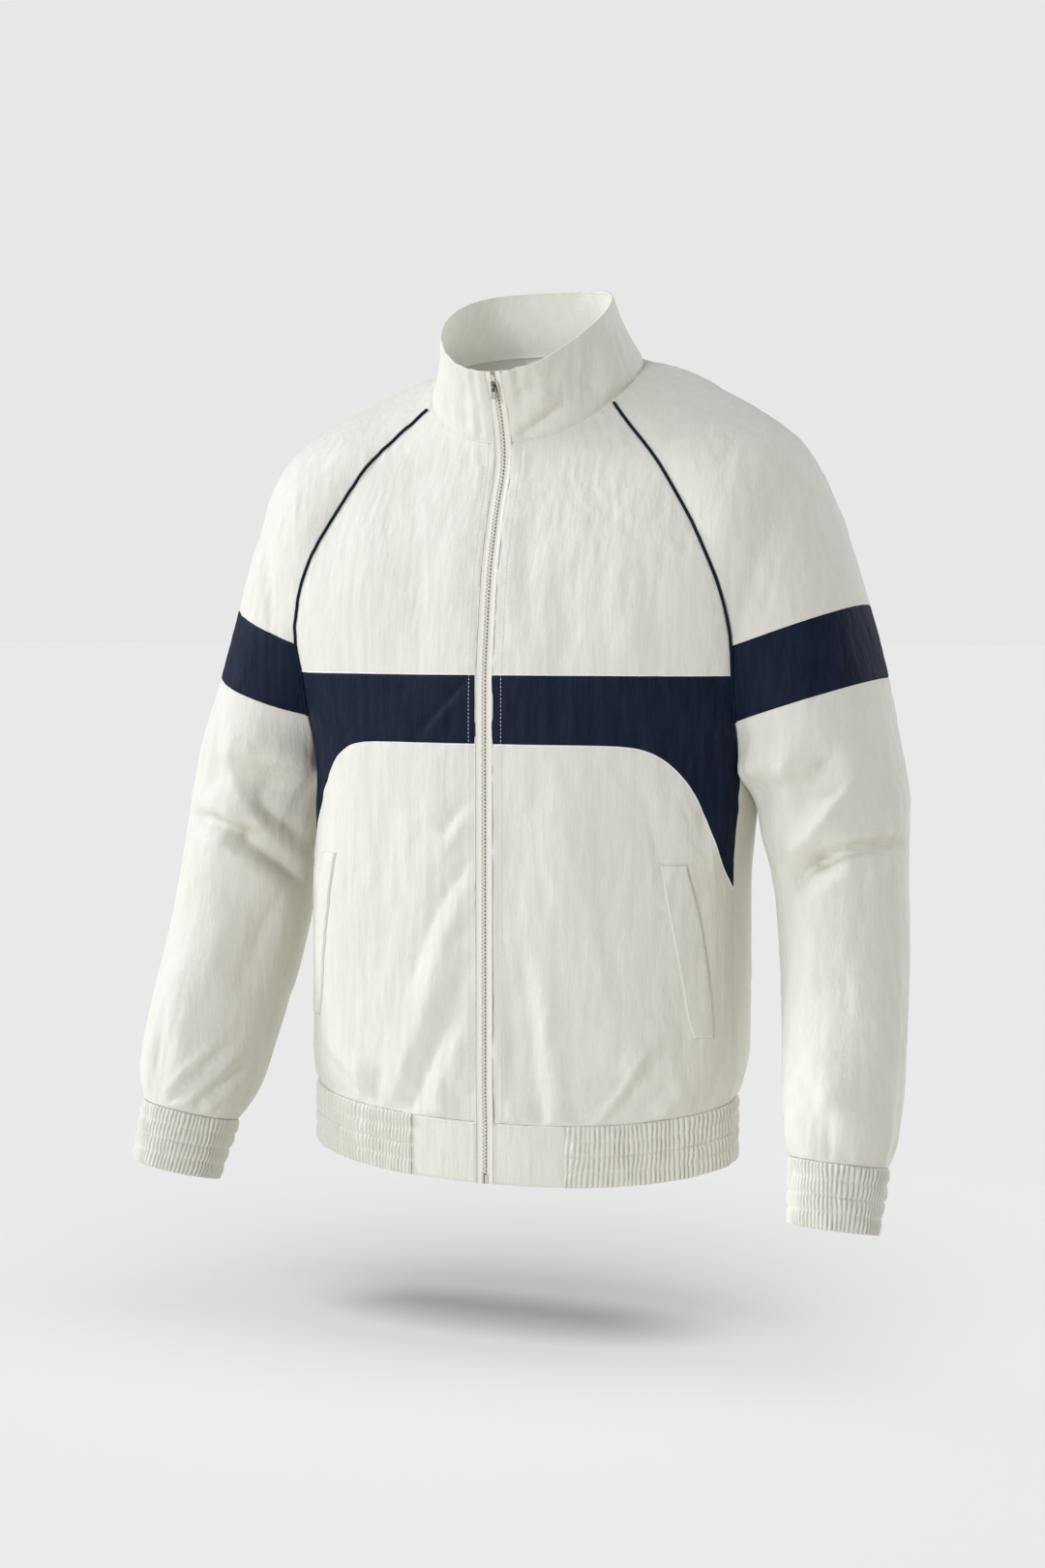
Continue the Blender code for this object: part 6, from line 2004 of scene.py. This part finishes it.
def build_lights(floor):
    """Suns round the jacket, and a small soft light inside the collar for daylight let through.

    The light of the floor is held back by the pieces of the body alone, not by the sleeves.
    """
    for name, turned, height, strength, spread, tint, floor_alone in LIGHTS:
        light = bpy.data.lights.new(name, "SUN")
        light.energy = strength * math.pi
        light.angle = math.radians(spread)
        light.color = tint
        sun = placed(name, light)
        across, up = math.radians(CAMERA_TURN + turned), math.radians(height)
        came = Vector((
            math.cos(up) * math.sin(across), -math.cos(up) * math.cos(across), math.sin(up)
        ))
        sun.rotation_euler = came.to_track_quat("Z", "Y").to_euler()
        reach = bpy.data.collections.new(name + " reach")
        reach.objects.link(floor)
        reach.collection_objects[0].light_linking.link_state = (
            "INCLUDE" if floor_alone else "EXCLUDE"
        )
        sun.light_linking.receiver_collection = reach
        if floor_alone:
            casters = bpy.data.collections.new(name + " casters")
            for piece in bpy.data.objects:
                if piece.name.startswith(SHADOW_CASTERS):
                    casters.objects.link(piece)
            sun.light_linking.blocker_collection = casters

    glow = bpy.data.lights.new("collar light", "POINT")
    glow.energy, glow.shadow_soft_size = COLLAR_LIGHT_POWER, COLLAR_LIGHT_RADIUS
    glow.color = DAYLIGHT
    lamp = placed("collar light", glow)
    lamp.location = COLLAR_LIGHT_AT
    lamp.visible_camera = False


def build_air():
    """An even backdrop for the camera, and a dimmer even light for everything else."""
    world = bpy.data.worlds.new("studio air")
    world.use_nodes = True
    seen = Net(world.node_tree).node("ShaderNodeLightPath", {}, {}, "Is Camera Ray")
    background = world.node_tree.nodes["Background"]
    (seen * (BACKDROP - AIR) + AIR).feed(background, "Strength")
    background.inputs["Color"].default_value = (1, 1, 1, 1)
    bpy.context.scene.world = world
    bpy.context.scene.view_settings.view_transform = "Standard"


# ---------------------------------------------------------------- all together

def repaint(node, look):
    for slot in frame["nodes"][node].material_slots:
        slot.link = "OBJECT"
        slot.material = LOOKS[look]


def main():
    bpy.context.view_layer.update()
    done, marks = build_shell()
    tabs = build_waistband()
    build_cuffs()
    build_teeth()
    build_tapes()
    build_neck_seam()
    build_pressed_edges(done, marks)
    build_piping(done, marks)
    build_stitching(done, tabs, build_welts())
    for node, look in PAINTED.items():
        repaint(node, look)
    build_camera()
    build_lights(build_floor())
    build_air()


main()
